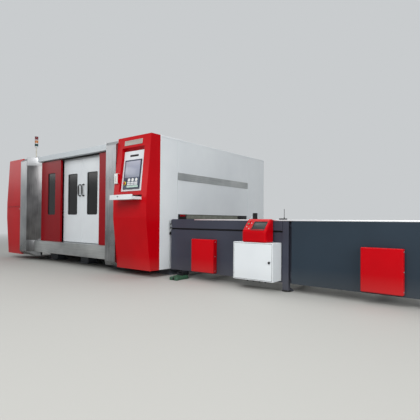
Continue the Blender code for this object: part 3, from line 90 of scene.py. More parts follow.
def add_node(tree, kind, settings=None, links=None):
    """Adds one shader node: settings fill its fields or sockets, links join other nodes' outputs to it."""
    made = tree.nodes.new(kind)
    for key, value in (settings or {}).items():
        if key == "stops":
            for index, (place, code) in enumerate(value):
                stop = made.color_ramp.elements[index] if index < 2 else made.color_ramp.elements.new(place)
                stop.position = place
                stop.color = hex_colour(code)
        elif isinstance(key, int) or key in made.inputs:
            made.inputs[key].default_value = value
        else:
            setattr(made, key, value)
    for key, source in (links or {}).items():
        tree.links.new(source, made.inputs[key])
    return made


def new_finish(name, settings):
    """A material whose one Principled shader has the given constant values on its own sockets."""
    material = bpy.data.materials.new(name)
    material.use_nodes = True
    tree = material.node_tree
    shader = tree.nodes["Principled BSDF"]
    for key, value in settings.items():
        shader.inputs[key].default_value = value
    place = add_node(tree, "ShaderNodeTexCoord").outputs["Object"]
    return material, tree, shader, place


def add_bump(tree, shader, height, strength, distance):
    """Lets a pattern raise the surface a little."""
    bump = add_node(tree, "ShaderNodeBump", {"Strength": strength, "Distance": distance}, {"Height": height})
    tree.links.new(bump.outputs["Normal"], shader.inputs["Normal"])


def powder_coat(name, base, deep, roughness, shine=0.3, peel_mm=4):
    """Polyester powder sprayed on sheet steel and baked. The eye sees an even colour with a slight orange
    peel that ripples reflections, deeper in soft patches a metre wide, and some grey dust near the floor."""
    settings = {"Roughness": roughness, "IOR": 1.5, "Specular IOR Level": shine}
    material, tree, shader, place = new_finish(name, settings)
    cloud = add_node(tree, "ShaderNodeTexNoise", {"Scale": 1.1, "Detail": 3.0}, {"Vector": place})
    tone = add_node(
        tree, "ShaderNodeValToRGB", {"stops": ((0.35, deep), (0.65, base))}, {"Fac": cloud.outputs["Fac"]})
    level = add_node(tree, "ShaderNodeSeparateXYZ", links={"Vector": place}).outputs["Z"]
    dust = add_node(
        tree, "ShaderNodeMapRange", {"From Min": 0.32, "From Max": 0.08, "To Min": 0.0, "To Max": 0.10},
        {"Value": level})
    dusty = add_node(
        tree, "ShaderNodeMix", {"data_type": "RGBA", 7: hex_colour("#8D8A84")},
        {0: dust.outputs["Result"], 6: tone.outputs["Color"]})
    tree.links.new(dusty.outputs[2], shader.inputs["Base Color"])
    peel = add_node(tree, "ShaderNodeTexNoise", {"Scale": 1000 / peel_mm, "Detail": 1.0}, {"Vector": place})
    add_bump(tree, shader, peel.outputs["Fac"], 0.12, 0.0004)
    return material


def brushed_metal(name, stretch, light, dark, roughness, line_mm=4):
    """Sheet ground with an abrasive belt. The grain's lines are really 0.3 mm apart, too fine to show, so
    they are drawn 4 or 6 mm apart; broad soft patches vary the roughness, and in the colour they are a
    painted reflection, the uneven shine of the room on the sheet."""
    material, tree, shader, place = new_finish(name, {"Metallic": 1.0, "Anisotropic": 0.15})
    scale = tuple(1000 / line_mm * part for part in stretch)
    along = add_node(tree, "ShaderNodeMapping", {"Scale": scale}, {"Vector": place})
    grain = add_node(
        tree, "ShaderNodeTexNoise", {"Scale": 1.0, "Detail": 2.0}, {"Vector": along.outputs["Vector"]})
    # Broad patches: they vary the roughness, and mixed into the colour they are a painted reflection.
    patch = add_node(tree, "ShaderNodeTexNoise", {"Scale": 2.4, "Detail": 2.0}, {"Vector": place})
    both = add_node(
        tree, "ShaderNodeMix", {"data_type": "FLOAT", 0: 0.55},
        {2: grain.outputs["Fac"], 3: patch.outputs["Fac"]})
    tone = add_node(
        tree, "ShaderNodeValToRGB", {"stops": ((0.36, dark), (0.64, light))}, {"Fac": both.outputs[0]})
    tree.links.new(tone.outputs["Color"], shader.inputs["Base Color"])
    dull = add_node(
        tree, "ShaderNodeMapRange",
        {"From Min": 0.3, "From Max": 0.7, "To Min": roughness - 0.06, "To Max": roughness + 0.08},
        {"Value": patch.outputs["Fac"]})
    tree.links.new(dull.outputs["Result"], shader.inputs["Roughness"])
    add_bump(tree, shader, grain.outputs["Fac"], 0.10, 0.0003)
    return material


def plain_metal(name, light, dark, roughness, grain_mm, metallic=1.0):
    """Machined, plated or scaled metal: two tones in grains of the given size, the same grain in relief."""
    material, tree, shader, place = new_finish(name, {"Metallic": metallic, "Roughness": roughness})
    grain = add_node(tree, "ShaderNodeTexNoise", {"Scale": 1000 / grain_mm, "Detail": 4.0}, {"Vector": place})
    tone = add_node(
        tree, "ShaderNodeValToRGB", {"stops": ((0.35, dark), (0.65, light))}, {"Fac": grain.outputs["Fac"]})
    tree.links.new(tone.outputs["Color"], shader.inputs["Base Color"])
    add_bump(tree, shader, grain.outputs["Fac"], 0.15, 0.0004)
    return material


def burnt_steel(name):
    """Plasma-cut mild steel slats after weeks below the beam: brown-black scale, blue-grey heat tint in
    patches some centimetres wide, and frozen spatter drops about 3 mm across that stand proud."""
    material, tree, shader, place = new_finish(name, {"Metallic": 0.65, "Roughness": 0.55})
    tint = add_node(tree, "ShaderNodeTexNoise", {"Scale": 18.0, "Detail": 5.0}, {"Vector": place})
    tone = add_node(
        tree, "ShaderNodeValToRGB",
        {"stops": ((0.30, "#2A2523"), (0.72, "#7C8085"), (0.48, "#4B3F37"), (0.60, "#565B66"))},
        {"Fac": tint.outputs["Fac"]})
    tree.links.new(tone.outputs["Color"], shader.inputs["Base Color"])
    drops = add_node(tree, "ShaderNodeTexVoronoi", {"Scale": 320.0}, {"Vector": place})
    add_bump(tree, shader, drops.outputs["Distance"], 0.35, 0.0008)
    return material


def moulded(name, base, deep, roughness, grain_mm=1.5, settings=None):
    """Injection-moulded or pressed polymer: one colour, a shade uneven, with the fine grain of
    its mould. A pane is given a grain 400 mm wide, so that it looks smooth."""
    material, tree, shader, place = new_finish(name, {"Roughness": roughness, "IOR": 1.5, **(settings or {})})
    cloud = add_node(tree, "ShaderNodeTexNoise", {"Scale": 14.0, "Detail": 2.0}, {"Vector": place})
    tone = add_node(
        tree, "ShaderNodeValToRGB", {"stops": ((0.35, deep), (0.65, base))}, {"Fac": cloud.outputs["Fac"]})
    tree.links.new(tone.outputs["Color"], shader.inputs["Base Color"])
    grain = add_node(tree, "ShaderNodeTexNoise", {"Scale": 1000 / grain_mm, "Detail": 1.0}, {"Vector": place})
    add_bump(tree, shader, grain.outputs["Fac"], 0.10, 0.0002)
    return material


def display_glass(name):
    """A coated glass screen, lit from behind: a pale lavender field, lighter towards its top."""
    material, tree, shader, place = new_finish(
        name, {"Roughness": 0.12, "IOR": 1.5, "Specular IOR Level": 0.4, "Emission Strength": 0.10})
    level = add_node(tree, "ShaderNodeSeparateXYZ", links={"Vector": place}).outputs["Z"]
    height = add_node(tree, "ShaderNodeMapRange", {"From Min": 1.54, "From Max": 1.83}, {"Value": level})
    tone = add_node(
        tree, "ShaderNodeValToRGB",
        {"stops": ((0.0, "#8B909E"), (1.0, "#A3A5B2"), (0.55, "#8E92A2"))}, {"Fac": height.outputs["Result"]})
    tree.links.new(tone.outputs["Color"], shader.inputs["Base Color"])
    tree.links.new(tone.outputs["Color"], shader.inputs["Emission Color"])
    return material


# Baked powder on sheet steel: the reds glossy and saturated, the whites and slates satin.
red_coat = powder_coat("red_gloss_powder_coat", "#B9000E", "#AA000C", 0.28, shine=0.12)
# The same red paint darkened: painted shade on the set-back fixed panels and the guide block in the slot.
shaded_red_coat = powder_coat("red_gloss_powder_coat_painted_shade", "#8C000D", "#7F000B", 0.28, shine=0.12)
white_coat = powder_coat("white_satin_powder_coat", "#D8DDE0", "#CFD4D8", 0.40)
header_coat = powder_coat("grey_white_satin_powder_coat", "#BDC4C8", "#B5BCC1", 0.40)
slate_coat = powder_coat("slate_satin_powder_coat", "#3B3E4A", "#343742", 0.42, shine=0.2)
blue_slate_coat = powder_coat("blue_slate_satin_powder_coat", "#28343F", "#232E38", 0.42, shine=0.2)
frame_coat = powder_coat("grey_machine_enamel", "#5B626B", "#4F565F", 0.45, peel_mm=6)
# Belt-ground stainless sheet: soft vertical or level lines, and a broad dull sheen, partly painted reflection
# in the colour.
upright_steel = brushed_metal("brushed_stainless_upright", (1.0, 1.0, 0.012), "#9E9FA0", "#6F7173", 0.30)
# A darker copy of the stainless, laid on the jambs as painted shade: the dark band of their reflection.
jamb_shade_steel = brushed_metal("brushed_stainless_painted_shade", (1.0, 1.0, 0.012), "#7C7B7B", "#4C4A4C", 0.32)
level_steel = brushed_metal("brushed_stainless_level", (0.012, 1.0, 1.0), "#BDBFBE", "#96999A", 0.34)
side_steel = brushed_metal("brushed_stainless_sideways", (1.0, 0.012, 1.0), "#BDBFBE", "#96999A", 0.34)
kick_steel = brushed_metal("brushed_stainless_kick_plate", (1.0, 1.0, 0.012), "#838484", "#5E5E60", 0.36)
# A brighter copy of the stainless for the jambs' heads: a painted highlight of the light they reflect.
jamb_highlight_steel = brushed_metal("stainless_painted_highlight", (1.0, 1.0, 0.012), "#D2D2D4", "#BCBDBF", 0.40, 6)
# Anodised, ground, plated and blackened metal: a fine even grain, from pale satin to near black.
# A near-white copy for the table's edge strips: a painted highlight of their lit, rounded top edges.
edge_highlight_metal = plain_metal("aluminium_painted_highlight", "#EDEDEF", "#DCDDE0", 0.45, 3)
plate_metal = plain_metal("matt_anodised_aluminium", "#B3AFA6", "#A5A198", 0.50, 3)
ground_steel = plain_metal("ground_steel", "#B9BBBD", "#9A9DA0", 0.24, 3)
zinc_plate = plain_metal("zinc_plated_steel", "#C2C5C6", "#A3A8AB", 0.38, 6)
galvanised = plain_metal("galvanised_sheet", "#9DA3A6", "#7D8488", 0.45, 18)
dark_metal = plain_metal("blackened_steel", "#3A3C40", "#2A2B2E", 0.42, 5, metallic=0.8)
slat_steel = burnt_steel("burnt_mild_steel")
copper = plain_metal("turned_copper", "#C98560", "#A9684A", 0.25, 2)
# Moulded plastics and pressed films: flat colours, a little glossy, the rubber and the brush matt.
black_plastic = moulded("black_moulded_abs", "#141416", "#0E0E10", 0.42, settings={"Specular IOR Level": 0.3})
navy_plastic = moulded("navy_moulded_abs", "#1E2945", "#18213A", 0.36)
pale_plastic = moulded("pale_grey_moulded_abs", "#D6D8DB", "#C9CCD0", 0.40)
aged_plastic = moulded("warm_grey_moulded_abs", "#B9B6AA", "#ADAA9E", 0.45)
white_plastic = moulded("white_moulded_abs", "#DDDEDC", "#D1D2D1", 0.35)
panel_film = moulded("blue_grey_polyester_film", "#4B5566", "#434C5C", 0.45)
green_film = moulded("pale_green_polyester_film", "#B4CDC2", "#A6C1B5", 0.45)
yellow_plastic = moulded("yellow_moulded_abs", "#DCCB4E", "#CDBB40", 0.38)
red_plastic = moulded("red_moulded_abs", "#B0121B", "#9C0F17", 0.30)
green_button = moulded("green_moulded_abs", "#156B3A", "#115C31", 0.30)
dark_green = moulded("dark_green_moulded_abs", "#1E4A3B", "#183F32", 0.40)
rubber = moulded("black_epdm_rubber", "#1A1A1B", "#131314", 0.70, grain_mm=2.5)
brush_hair = moulded("olive_grey_nylon_brush", "#7C7F76", "#6C6F67", 0.75, grain_mm=2)
# Acrylic lenses, unlit: dark and glossy. Polycarbonate panes: almost black, with a weak reflection.
red_lens = moulded("red_acrylic_lens", "#6E1C24", "#5C151D", 0.20, 3)
amber_lens = moulded("amber_acrylic_lens", "#B4743C", "#A0622E", 0.20, 3)
green_lens = moulded("green_acrylic_lens", "#17403E", "#123533", 0.20, 3)
smoked_pane = moulded(
    "smoked_polycarbonate", "#100F0E", "#0B0B0A", 0.14, 400,
    {"IOR": 1.58, "Transmission Weight": 0.15, "Specular IOR Level": 0.17})
dark_pane = moulded("dark_display_glass", "#2F3433", "#272B2A", 0.30, 400, {"Specular IOR Level": 0.2})
screen_glass = display_glass("backlit_display_glass")
green_enamel = powder_coat("green_cast_iron_enamel", "#155238", "#10452E", 0.35, peel_mm=8)

node_finishes = {
    red_coat: "control_cabinet left_end_block cover_small cover_large operator_console",
    # painted shade: the fixed panels are the red paint darkened
    shaded_red_coat: "fixed_panel_left fixed_panel_right",
    white_coat: "corner_pillar_front corner_pillar_rear end_wall_panel left_end_wall rear_wall roof_panel "
                "door_left door_right screen_bezel electrical_box box_door laser_source keyboard_drawer",
    header_coat: "header_cover",
    aged_plastic: "signal_pole",
    slate_coat: "table_apron table_panel_near table_frame",
    blue_slate_coat: "table_panel_far table_panel_rear",
    frame_coat: "bed_frame gantry_beam",
    upright_steel: "portal_post_left portal_post_right",
    level_steel: "door_sill",
    side_steel: "end_trim",
    ground_steel: "rail_front rail_rear y_carriage",
    zinc_plate: "lift_frame door_track",
    galvanised: "slag_hopper",
    slat_steel: "pallet_upper pallet_lower",
    dark_metal: "drive_motor cutting_head",
    copper: "cutting_nozzle",
    black_plastic: "door_handle_left door_handle_right keyboard box_lock",
    navy_plastic: "monitor",
    white_plastic: "switch_box",
    red_plastic: "cabinet_stop_button console_stop_button",
    green_button: "console_start_button",
    smoked_pane: "door_window_left door_window_right fixed_window",
    red_lens: "lamp_red",
    amber_lens: "lamp_amber",
    green_lens: "lamp_green",
}


def dress_nodes():
    """Gives every CAD node the finish of the real piece."""
    for finish, names in node_finishes.items():
        for name in names.split():
            for place in cad[name].material_slots:
                place.material = finish


def alone(piece):
    """Makes a piece the only one selected."""
    bpy.ops.object.select_all(action="DESELECT")
    piece.select_set(True)
    bpy.context.view_layer.objects.active = piece


def just_added(name, place=None):
    """Names the primitive that was added last, and applies its size and place."""
    piece = bpy.context.object
    piece.name = piece.data.name = name
    if place is not None:
        piece.matrix_world = place @ piece.matrix_world
    alone(piece)
    bpy.ops.object.transform_apply(location=True, rotation=True, scale=True)
    return piece


def shape(piece, kind, chosen):
    """Opens a piece in edit mode with only the chosen vertices, edges or faces selected."""
    alone(piece)
    bpy.ops.object.mode_set(mode="EDIT")
    bpy.ops.mesh.select_mode(type=kind)
    bpy.ops.mesh.select_all(action="DESELECT")
    mesh = bmesh.from_edit_mesh(piece.data)
    for item in {"VERT": mesh.verts, "EDGE": mesh.edges, "FACE": mesh.faces}[kind]:
        if chosen(item):
            item.select_set(True)
    mesh.select_flush_mode()
    bmesh.update_edit_mesh(piece.data)


def done():
    """Leaves edit mode."""
    bpy.ops.object.mode_set(mode="OBJECT")


def set_in_place(piece, seat):
    """Moves a piece that was shaped at the origin to its seat, and applies it."""
    if seat is not None:
        piece.matrix_world = seat
        alone(piece)
        bpy.ops.object.transform_apply(location=True, rotation=True, scale=True)
    return piece


def add_block(name, low, high, edge=0.001, seat=None):
    """A block between two corners, all its edges rounded."""
    bpy.ops.object.select_all(action="DESELECT")
    low, high = Vector(low), Vector(high)
    bpy.ops.mesh.primitive_cube_add(size=1, location=(low + high) / 2, scale=high - low)
    piece = just_added(name)
    shape(piece, "EDGE", lambda item: True)
    bpy.ops.mesh.bevel(offset=edge, segments=2, affect="EDGES")
    done()
    return set_in_place(piece, seat)


def add_turned(name, profile, seat, sides=24):
    """A turned piece: a disc, extruded and scaled ring by ring; the profile gives (height, radius)."""
    bpy.ops.object.select_all(action="DESELECT")
    low, wide = profile[0]
    bpy.ops.mesh.primitive_circle_add(vertices=sides, radius=wide, fill_type="NGON", location=(0, 0, low))
    piece = just_added(name)
    shape(piece, "FACE", lambda face: True)
    for (low, wide), (high, next_wide) in zip(profile, profile[1:]):
        bpy.ops.mesh.extrude_region_move(TRANSFORM_OT_translate={"value": (0, 0, high - low)})
        ratio = next_wide / wide
        bpy.ops.transform.resize(value=(ratio, ratio, 1), center_override=(0, 0, high))
    bpy.ops.mesh.select_all(action="SELECT")
    bpy.ops.mesh.normals_make_consistent(inside=False)
    done()
    return set_in_place(piece, seat)


def add_ring(name, low, high, corner, width, height, seat):
    """A flat frame: a plane with rounded corners, inset, its middle taken out and the rest extruded."""
    bpy.ops.object.select_all(action="DESELECT")
    low, high = Vector((*low, 0)), Vector((*high, 0))
    size = high - low
    bpy.ops.mesh.primitive_plane_add(size=1, location=(low + high) / 2)
    bpy.context.object.scale = (size.x, size.y, 1)
    piece = just_added(name)
    shape(piece, "VERT", lambda point: True)
    bpy.ops.mesh.bevel(offset=corner, segments=4, affect="VERTICES")
    bpy.ops.mesh.select_mode(type="FACE")
    bpy.ops.mesh.select_all(action="SELECT")
    bpy.ops.mesh.inset(thickness=width, depth=0)
    bpy.ops.mesh.delete(type="FACE")
    bpy.ops.mesh.select_all(action="SELECT")
    bpy.ops.mesh.extrude_region_move(TRANSFORM_OT_translate={"value": (0, 0, height)})
    bpy.ops.mesh.select_all(action="SELECT")
    bpy.ops.mesh.normals_make_consistent(inside=False)
    done()
    return set_in_place(piece, seat)


def join(pieces):
    """Joins pieces to the first of them."""
    alone(pieces[0])
    for piece in pieces[1:]:
        piece.select_set(True)
    bpy.ops.object.join()
    return pieces[0]


def copy_by(piece, moves):
    """Copies a piece by each matrix, each copy with its own mesh, and joins them."""
    copies = []
    for move in moves:
        copy = piece.copy()
        copy.data = piece.data.copy()
        bpy.context.collection.objects.link(copy)
        copy.data.transform(move)
        copies.append(copy)
    return join([piece, *copies])


def repeat(piece, offsets):
    """Copies a piece to more places."""
    return copy_by(piece, [Matrix.Translation(offset) for offset in offsets])


def finish(piece, material, slot, body="machine"):
    """Shades a piece, gives it its material, and lets it ride on its body. Its slot is not used."""
    alone(piece)
    bpy.ops.object.shade_smooth_by_angle(angle=math.radians(32))
    piece.data.materials.clear()
    piece.data.materials.append(material)
    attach(piece, body)
    return piece


def facing(way, place=(0, 0, 0)):
    """A seat on a flat face that looks along way: its x runs along the face, its y up it, its z out of it."""
    out = Vector(way).normalized()
    across = Vector(upwards).cross(out)
    across = across.normalized() if across.length > 0.01 else Vector(to_right)
    axes = Matrix((across, out.cross(across), out)).transposed().to_4x4()
    return Matrix.Translation(place) @ axes


def seat_on(node, start, towards):
    """The seat where a line from start first meets a node's surface."""
    hit, place, normal, _ = cad[node].ray_cast(Vector(start), Vector(towards))
    if not hit:
        raise ValueError("no surface of " + node + " there")
    return facing(normal, place)


def front_seat(node, x, z):
    """The seat on a node's front surface at one place along it and one height."""
    well_in_front = -3.0
    return seat_on(node, (x, well_in_front, z), to_back)


def shifted(seat, across=0.0, up=0.0, out=0.0):
    """A seat moved along its own axes."""
    return seat @ Matrix.Translation((across, up, out))


def screw_profile(radius, height):
    """A button-head screw: rim, dome and the hollow of its socket."""
    return [
        (0, radius), (height * 0.4, radius), (height * 0.8, radius * 0.8), (height, radius * 0.5),
        (height, radius * 0.45), (height * 0.4, radius * 0.40),
    ]


def add_pane_bead(name, pane, body):
    """A rubber bead round a pane."""
    low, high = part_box(pane)
    seat = facing(to_front, (0, low.y, 0))
    bead = add_ring(name, (low.x, low.z), (high.x, high.z), 0.030, 0.011, 0.008, seat)
    finish(bead, rubber, "black_plastic", body)


def add_handle_details(side):
    """The grip round a door's handle, and the two roses on which the handle stands."""
    door, bar_radius, grip_length = "door_" + side, 0.009, 0.154
    low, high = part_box("door_handle_" + side)
    x, z = (low.x + high.x) / 2, (low.z + high.z) / 2
    grip = [(0, 0.0095), (0.004, 0.0140), (0.150, 0.0140), (grip_length, 0.0095)]
    seat = facing(upwards, (x, low.y + bar_radius, z - grip_length / 2))
    finish(add_turned(side + "_handle_grip", grip, seat, 20), rubber, "black_plastic", door)
    profile = [(0.0004, 0.017), (0.003, 0.017), (0.006, 0.0125), (0.007, 0.0096)]
    seat = facing(to_front, (x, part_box(door)[0].y, low.z + bar_radius))
    rose = add_turned(side + "_handle_roses", profile, seat)
    other_end = (0, 0, high.z - low.z - 2 * bar_radius)
    finish(repeat(rose, [other_end]), black_plastic, "black_plastic", door)


def add_door_details():
    """The beads of the three panes, and the fittings of both handles."""
    for side in ("left", "right"):
        add_pane_bead(side + "_pane_bead", "door_window_" + side, "door_" + side)
    add_pane_bead("fixed_pane_bead", "fixed_window", "machine")
    for side in ("left", "right"):
        add_handle_details(side)


def add_kick_plate(side, x):
    """A plate with four screws on the foot of a splayed jamb."""
    half, tall, thick, inset, screw_pitch = 0.0895, 0.1165, 0.002, 0.012, 0.2
    seat = front_seat("portal_post_" + side, x, 0.311)
    plate = add_block(side + "_kick_plate", (-half, -tall, 0), (half, tall, thick), 0.0006, seat)
    corner = shifted(seat, inset - half, -screw_pitch / 2, thick)
    screw = add_turned(side + "_kick_plate_screws", screw_profile(0.005, 0.0025), corner, 12)
    across = seat.to_3x3().col[0] * (2 * half - 2 * inset)
    up = seat.to_3x3().col[1] * screw_pitch
    finish(join([plate, repeat(screw, [up, across, up + across])]), kick_steel, "stainless")


def add_jamb_sheet(side, x):
    """A darker sheet on a splayed jamb, painted shade, and a bright plate at its head, a painted highlight.
    """
    half = 0.160
    seat = front_seat("portal_post_" + side, x, 0.435)
    sheet = add_block(side + "_jamb_shade_sheet", (-half, 0, 0), (half, 1.575, 0.0012), 0.0005, seat)
    # The sheet's darker steel is painted shade, the dark band reflected on the jamb.
    finish(sheet, jamb_shade_steel, "stainless")
    head = add_block(side + "_jamb_highlight_plate", (-half, 1.578, 0), (half, 1.750, 0.0016), 0.0006, seat)
    # The bright head plate is a painted highlight of light reflected at the top of the jamb.
    finish(head, jamb_highlight_steel, "stainless")


def add_portal_details():
    """The plates on both jambs, the header's lower flange, and a black strip below its rear edge, painted
    shadow under the header.
    """
    add_kick_plate("left", -3.520)
    add_kick_plate("right", -0.928)
    add_jamb_sheet("left", -3.470)
    add_jamb_sheet("right", -0.978)
    low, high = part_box("header_cover")
    flange = add_block(
        "header_flange", (low.x + 0.14, low.y + 0.012, low.z - 0.004), (high.x - 0.14, high.y - 0.02, low.z),
        0.0008)
    finish(flange, header_coat, "white_paint")
    # This black strip is painted shadow under the header's rear edge, not a brush.
    brush = add_block(
        "header_shadow_strip", (low.x + 0.066, high.y - 0.008, low.z - 0.036),
        (high.x - 0.066, high.y - 0.002, low.z), 0.0015)
    finish(brush, rubber, "black_plastic")


def add_cabinet_details():
    """The plate above the screen, the strip on the bezel, and the left housing's catch and seam."""
    seat = front_seat("control_cabinet", -0.19, 2.10)
    plate = add_block("blank_plate", (-0.213, -0.040, 0), (0.213, 0.040, 0.003), 0.0012, seat)
    finish(plate, plate_metal, "bright_steel")
    on_plate = shifted(seat, out=0.003)
    border = add_ring(
        "blank_plate_border", (-0.207, -0.034), (0.207, 0.034), 0.006, 0.0035, 0.0008, on_plate)
    finish(border, zinc_plate, "bright_steel")
    for name, node, x, z, half, edge, material, slot in (
        ("bezel_strip", "screen_bezel", -0.198, 1.895, (0.100, 0.016, 0.002), 0.0008,
         black_plastic, "black_plastic"),
        ("housing_catch", "left_end_block", -3.992, 1.095, (0.012, 0.007, 0.010), 0.002,
         zinc_plate, "bright_steel"),
        ("housing_seam", "left_end_block", -4.275, 1.145, (0.300, 0.004, 0.0012), 0.0005,
         rubber, "black_plastic"),
    ):
        finish(add_block(name, (-half[0], -half[1], 0), half, edge, front_seat(node, x, z)), material, slot)


def screen_seat():
    """The seat on the leaning screen, with its origin at the lower left corner."""
    low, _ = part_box("monitor")
    inset, rim = 0.006, 0.0017
    seat = front_seat("monitor", low.x + inset, low.z + 0.01)
    up = seat.to_3x3().col[1]
    return shifted(seat, -inset, -(seat.translation.z - low.z - rim) / up.z)


def add_panel_keys(top):
    """Three round keys and two rows of square ones on the key panel."""
    cap = [(0, 0.0270), (0.003, 0.0270), (0.0055, 0.0235), (0.0060, 0.0190), (0.0050, 0.0170)]
    keys = [
        add_turned(f"round_keys_{index}", cap, shifted(top, across, 0.1415), 24)
        for index, across in enumerate((0.146, 0.232, 0.318))
    ]
    finish(join(keys), white_plastic, "grey_plastic")
    squares = [
        add_block(
            f"square_keys_{row}_{index}", (-0.036, -0.011, 0), (0.036, 0.011, 0.003), 0.0012,
            shifted(top, 0.145 + 0.0835 * index, 0.098 - 0.028 * row))
        for row in (0, 1) for index in range(3)
    ]
    finish(join(squares), pale_plastic, "grey_plastic")


def add_stop_ring(seat):
    """The yellow ring round the emergency stop button, a flattened torus."""
    bpy.ops.object.select_all(action="DESELECT")
    bpy.ops.mesh.primitive_torus_add(
        major_segments=32, minor_segments=8, major_radius=0.0255, minor_radius=0.0065)
    bpy.context.object.scale = (1, 1, 0.5)
    finish(just_added("stop_ring", seat), yellow_plastic, "amber_lens")


def add_screen():
    """The display's glass, the key panel below it with its keys, the knob and the stop button's ring."""
    low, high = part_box("monitor")
    seat = screen_seat()
    width, panel_thick = high.x - low.x, 0.005
    pane = add_block(
        "display_pane", (0.0204, 0.1854, -0.0028), (width - 0.0204, 0.4476, -0.0002), 0.0006, seat)
    finish(pane, screen_glass, "tinted_glass")
    panel = add_block("key_panel", (0.090, 0.012, 0), (width - 0.012, 0.176, panel_thick), 0.0015, seat)
    finish(panel, panel_film, "black_plastic")
    add_panel_keys(shifted(seat, out=panel_thick))
    band = add_block(
        "key_panel_band", (0.100, 0.022, panel_thick), (width - 0.020, 0.052, 0.0065), 0.0006, seat)
    finish(band, green_film, "green_plastic")
    knob = [(0, 0.020), (0.002, 0.020), (0.003, 0.017), (0.012, 0.016), (0.014, 0.014)]
    finish(add_turned("feed_knob", knob, shifted(seat, 0.062, 0.1415), 24), navy_plastic, "black_plastic")
    add_stop_ring(shifted(seat, 0.040, 0.0925, 0.0034))


def add_switch_details():
    """The switch box's green side plate, its red bracket, its rotary switch and its two sockets."""
    low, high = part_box("switch_box")
    side = add_block(
        "switch_side", (low.x - 0.014, low.y + 0.003, low.z + 0.006), (low.x, high.y - 0.012, high.z - 0.006),
        0.003)
    finish(side, dark_green, "green_plastic")
    bracket = add_block(
        "switch_bracket", (high.x, low.y + 0.008, low.z + 0.003),
        (high.x + 0.003, high.y - 0.004, high.z - 0.003), 0.0012)
    finish(bracket, red_coat, "red_paint")
    seat = facing(to_front, ((low.x + high.x) / 2, low.y, high.z - 0.045))
    knob = [(0, 0.017), (0.004, 0.017), (0.005, 0.012), (0.014, 0.011), (0.016, 0.009)]
    finish(add_turned("switch_dial", knob, seat), pale_plastic, "grey_plastic")
    rim = [(0, 0.013), (0.003, 0.013), (0.004, 0.011), (0.004, 0.007), (0.001, 0.006)]
    socket = add_turned("switch_sockets", rim, shifted(seat, up=-0.045))
    finish(repeat(socket, [(0, 0, -0.032)]), aged_plastic, "grey_plastic")


def add_drawer_lock():
    """The cam lock in the drawer's front."""
    profile = [(0, 0.010), (0.0025, 0.010), (0.0035, 0.008), (0.0035, 0.003), (0.001, 0.0026)]
    seat = front_seat("keyboard_drawer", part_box("keyboard_drawer")[0].x + 0.196, 1.230)
    finish(add_turned("drawer_lock", profile, seat, 20), dark_metal, "dark_steel", "drawer")


def add_keyboard_keys():
    """Six rows of 21 keys, each with its top drawn in."""
    pitch, margin, half, tall = 0.0225, 0.019, 0.0095, 0.006
    low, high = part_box("keyboard")
    key = add_block("keyboard_keys", (-half, -half, 0), (half, half, tall), 0.0015)
    shape(key, "FACE", lambda face: face.normal.z > 0.9)
    bpy.ops.transform.resize(value=(0.8, 0.8, 1), center_override=(0, 0, tall))
    done()
    key.data.transform(Matrix.Translation((low.x + margin, low.y + margin, high.z)))
    places = [(column * pitch, row * pitch, 0) for row in range(6) for column in range(21)][1:]
    finish(repeat(key, places), black_plastic, "black_plastic", "drawer")


def ribbed_profile(height, wide, ribs=8):
    """A lamp lens with ribs round it."""
    neck, step = wide - 0.004, (height - 0.012) / ribs
    profile = [(0, neck), (0.005, neck)]
    for rib in range(ribs):
        start = 0.006 + rib * step
        profile += [(start, wide), (start + 0.0045, wide), (start + 0.006, wide - 0.002)]
    return [*profile, (height - 0.005, neck), (height, neck)]


def add_signal_tower():
    """Ribbed lenses in place of the plain ones, pale rings between them, the cap and the pole's collar."""
    for name, material in (("lamp_green", green_lens), ("lamp_amber", amber_lens), ("lamp_red", red_lens)):
        low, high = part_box(name)
        x, y, wide = (low.x + high.x) / 2, (low.y + high.y) / 2, (high.x - low.x) / 2
        seat = facing(upwards, (x, y, low.z))
        lens = add_turned(name + "_lens", ribbed_profile(high.z - low.z, wide), seat, 32)
        finish(lens, material, name.replace("lamp_", "") + "_lens")
        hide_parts(name)
        rim = [(-0.006, wide - 0.003), (-0.006, wide + 0.0008), (0.006, wide + 0.0008), (0.006, wide - 0.003)]
        finish(add_turned(name + "_ring", rim, seat, 32), pale_plastic, "grey_plastic")
    dome = [(0, wide), (0.003, wide), (0.006, wide * 0.7), (0.0068, wide * 0.3)]
    cap = add_turned("tower_cap", dome, facing(upwards, (x, y, high.z)), 32)
    finish(cap, black_plastic, "black_plastic")
    foot = facing(upwards, (x, y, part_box("signal_pole")[0].z + 0.014))
    cone = [(0, 0.0305), (0.003, 0.030), (0.02, 0.0165), (0.03, 0.0125)]
    finish(add_turned("tower_collar", cone, foot, 32), pale_plastic, "grey_plastic")


def add_wall_slot():
    """The brush curtain in the end wall's slot, with its rail, and the guide blocks in the slot's corners."""
    low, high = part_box("end_wall_panel")
    middle = (low.y + high.y) / 2
    x, half, pitch, stagger = high.x - 0.014, 1.018, 0.0405, 0.001
    strip = add_block(
        "slot_brush", (x - 0.0015, middle - 0.80, 0.902), (x + 0.0015, middle - 0.760, 0.974), 0.0006)
    places = [(stagger * (step % 2), pitch * step, 0) for step in range(1, 38)]
    finish(repeat(strip, places), brush_hair, "grey_plastic")
    rail = add_block(
        "slot_rail", (x - 0.016, middle - half, 0.968), (x - 0.002, middle + half, 0.9765), 0.002)
    finish(rail, dark_metal, "dark_steel")
    red = add_block(
        "front_guide_block", (x - 0.004, middle - 0.960, 0.938), (x + 0.012, middle - 0.840, 0.972), 0.006)
    # The block's darker red is painted shade inside the slot.
    finish(red, shaded_red_coat, "red_paint")
    plates = [
        add_block("guide_plates_front", (x - 0.010, middle - half, 0.880), (x, middle - 0.800, 0.974), 0.003),
        add_block(
            "guide_plates_rear", (x - 0.006, middle + 0.700, 0.880),
            (x + 0.010, middle + half, 0.966), 0.006),
    ]
    finish(join(plates), black_plastic, "black_plastic")


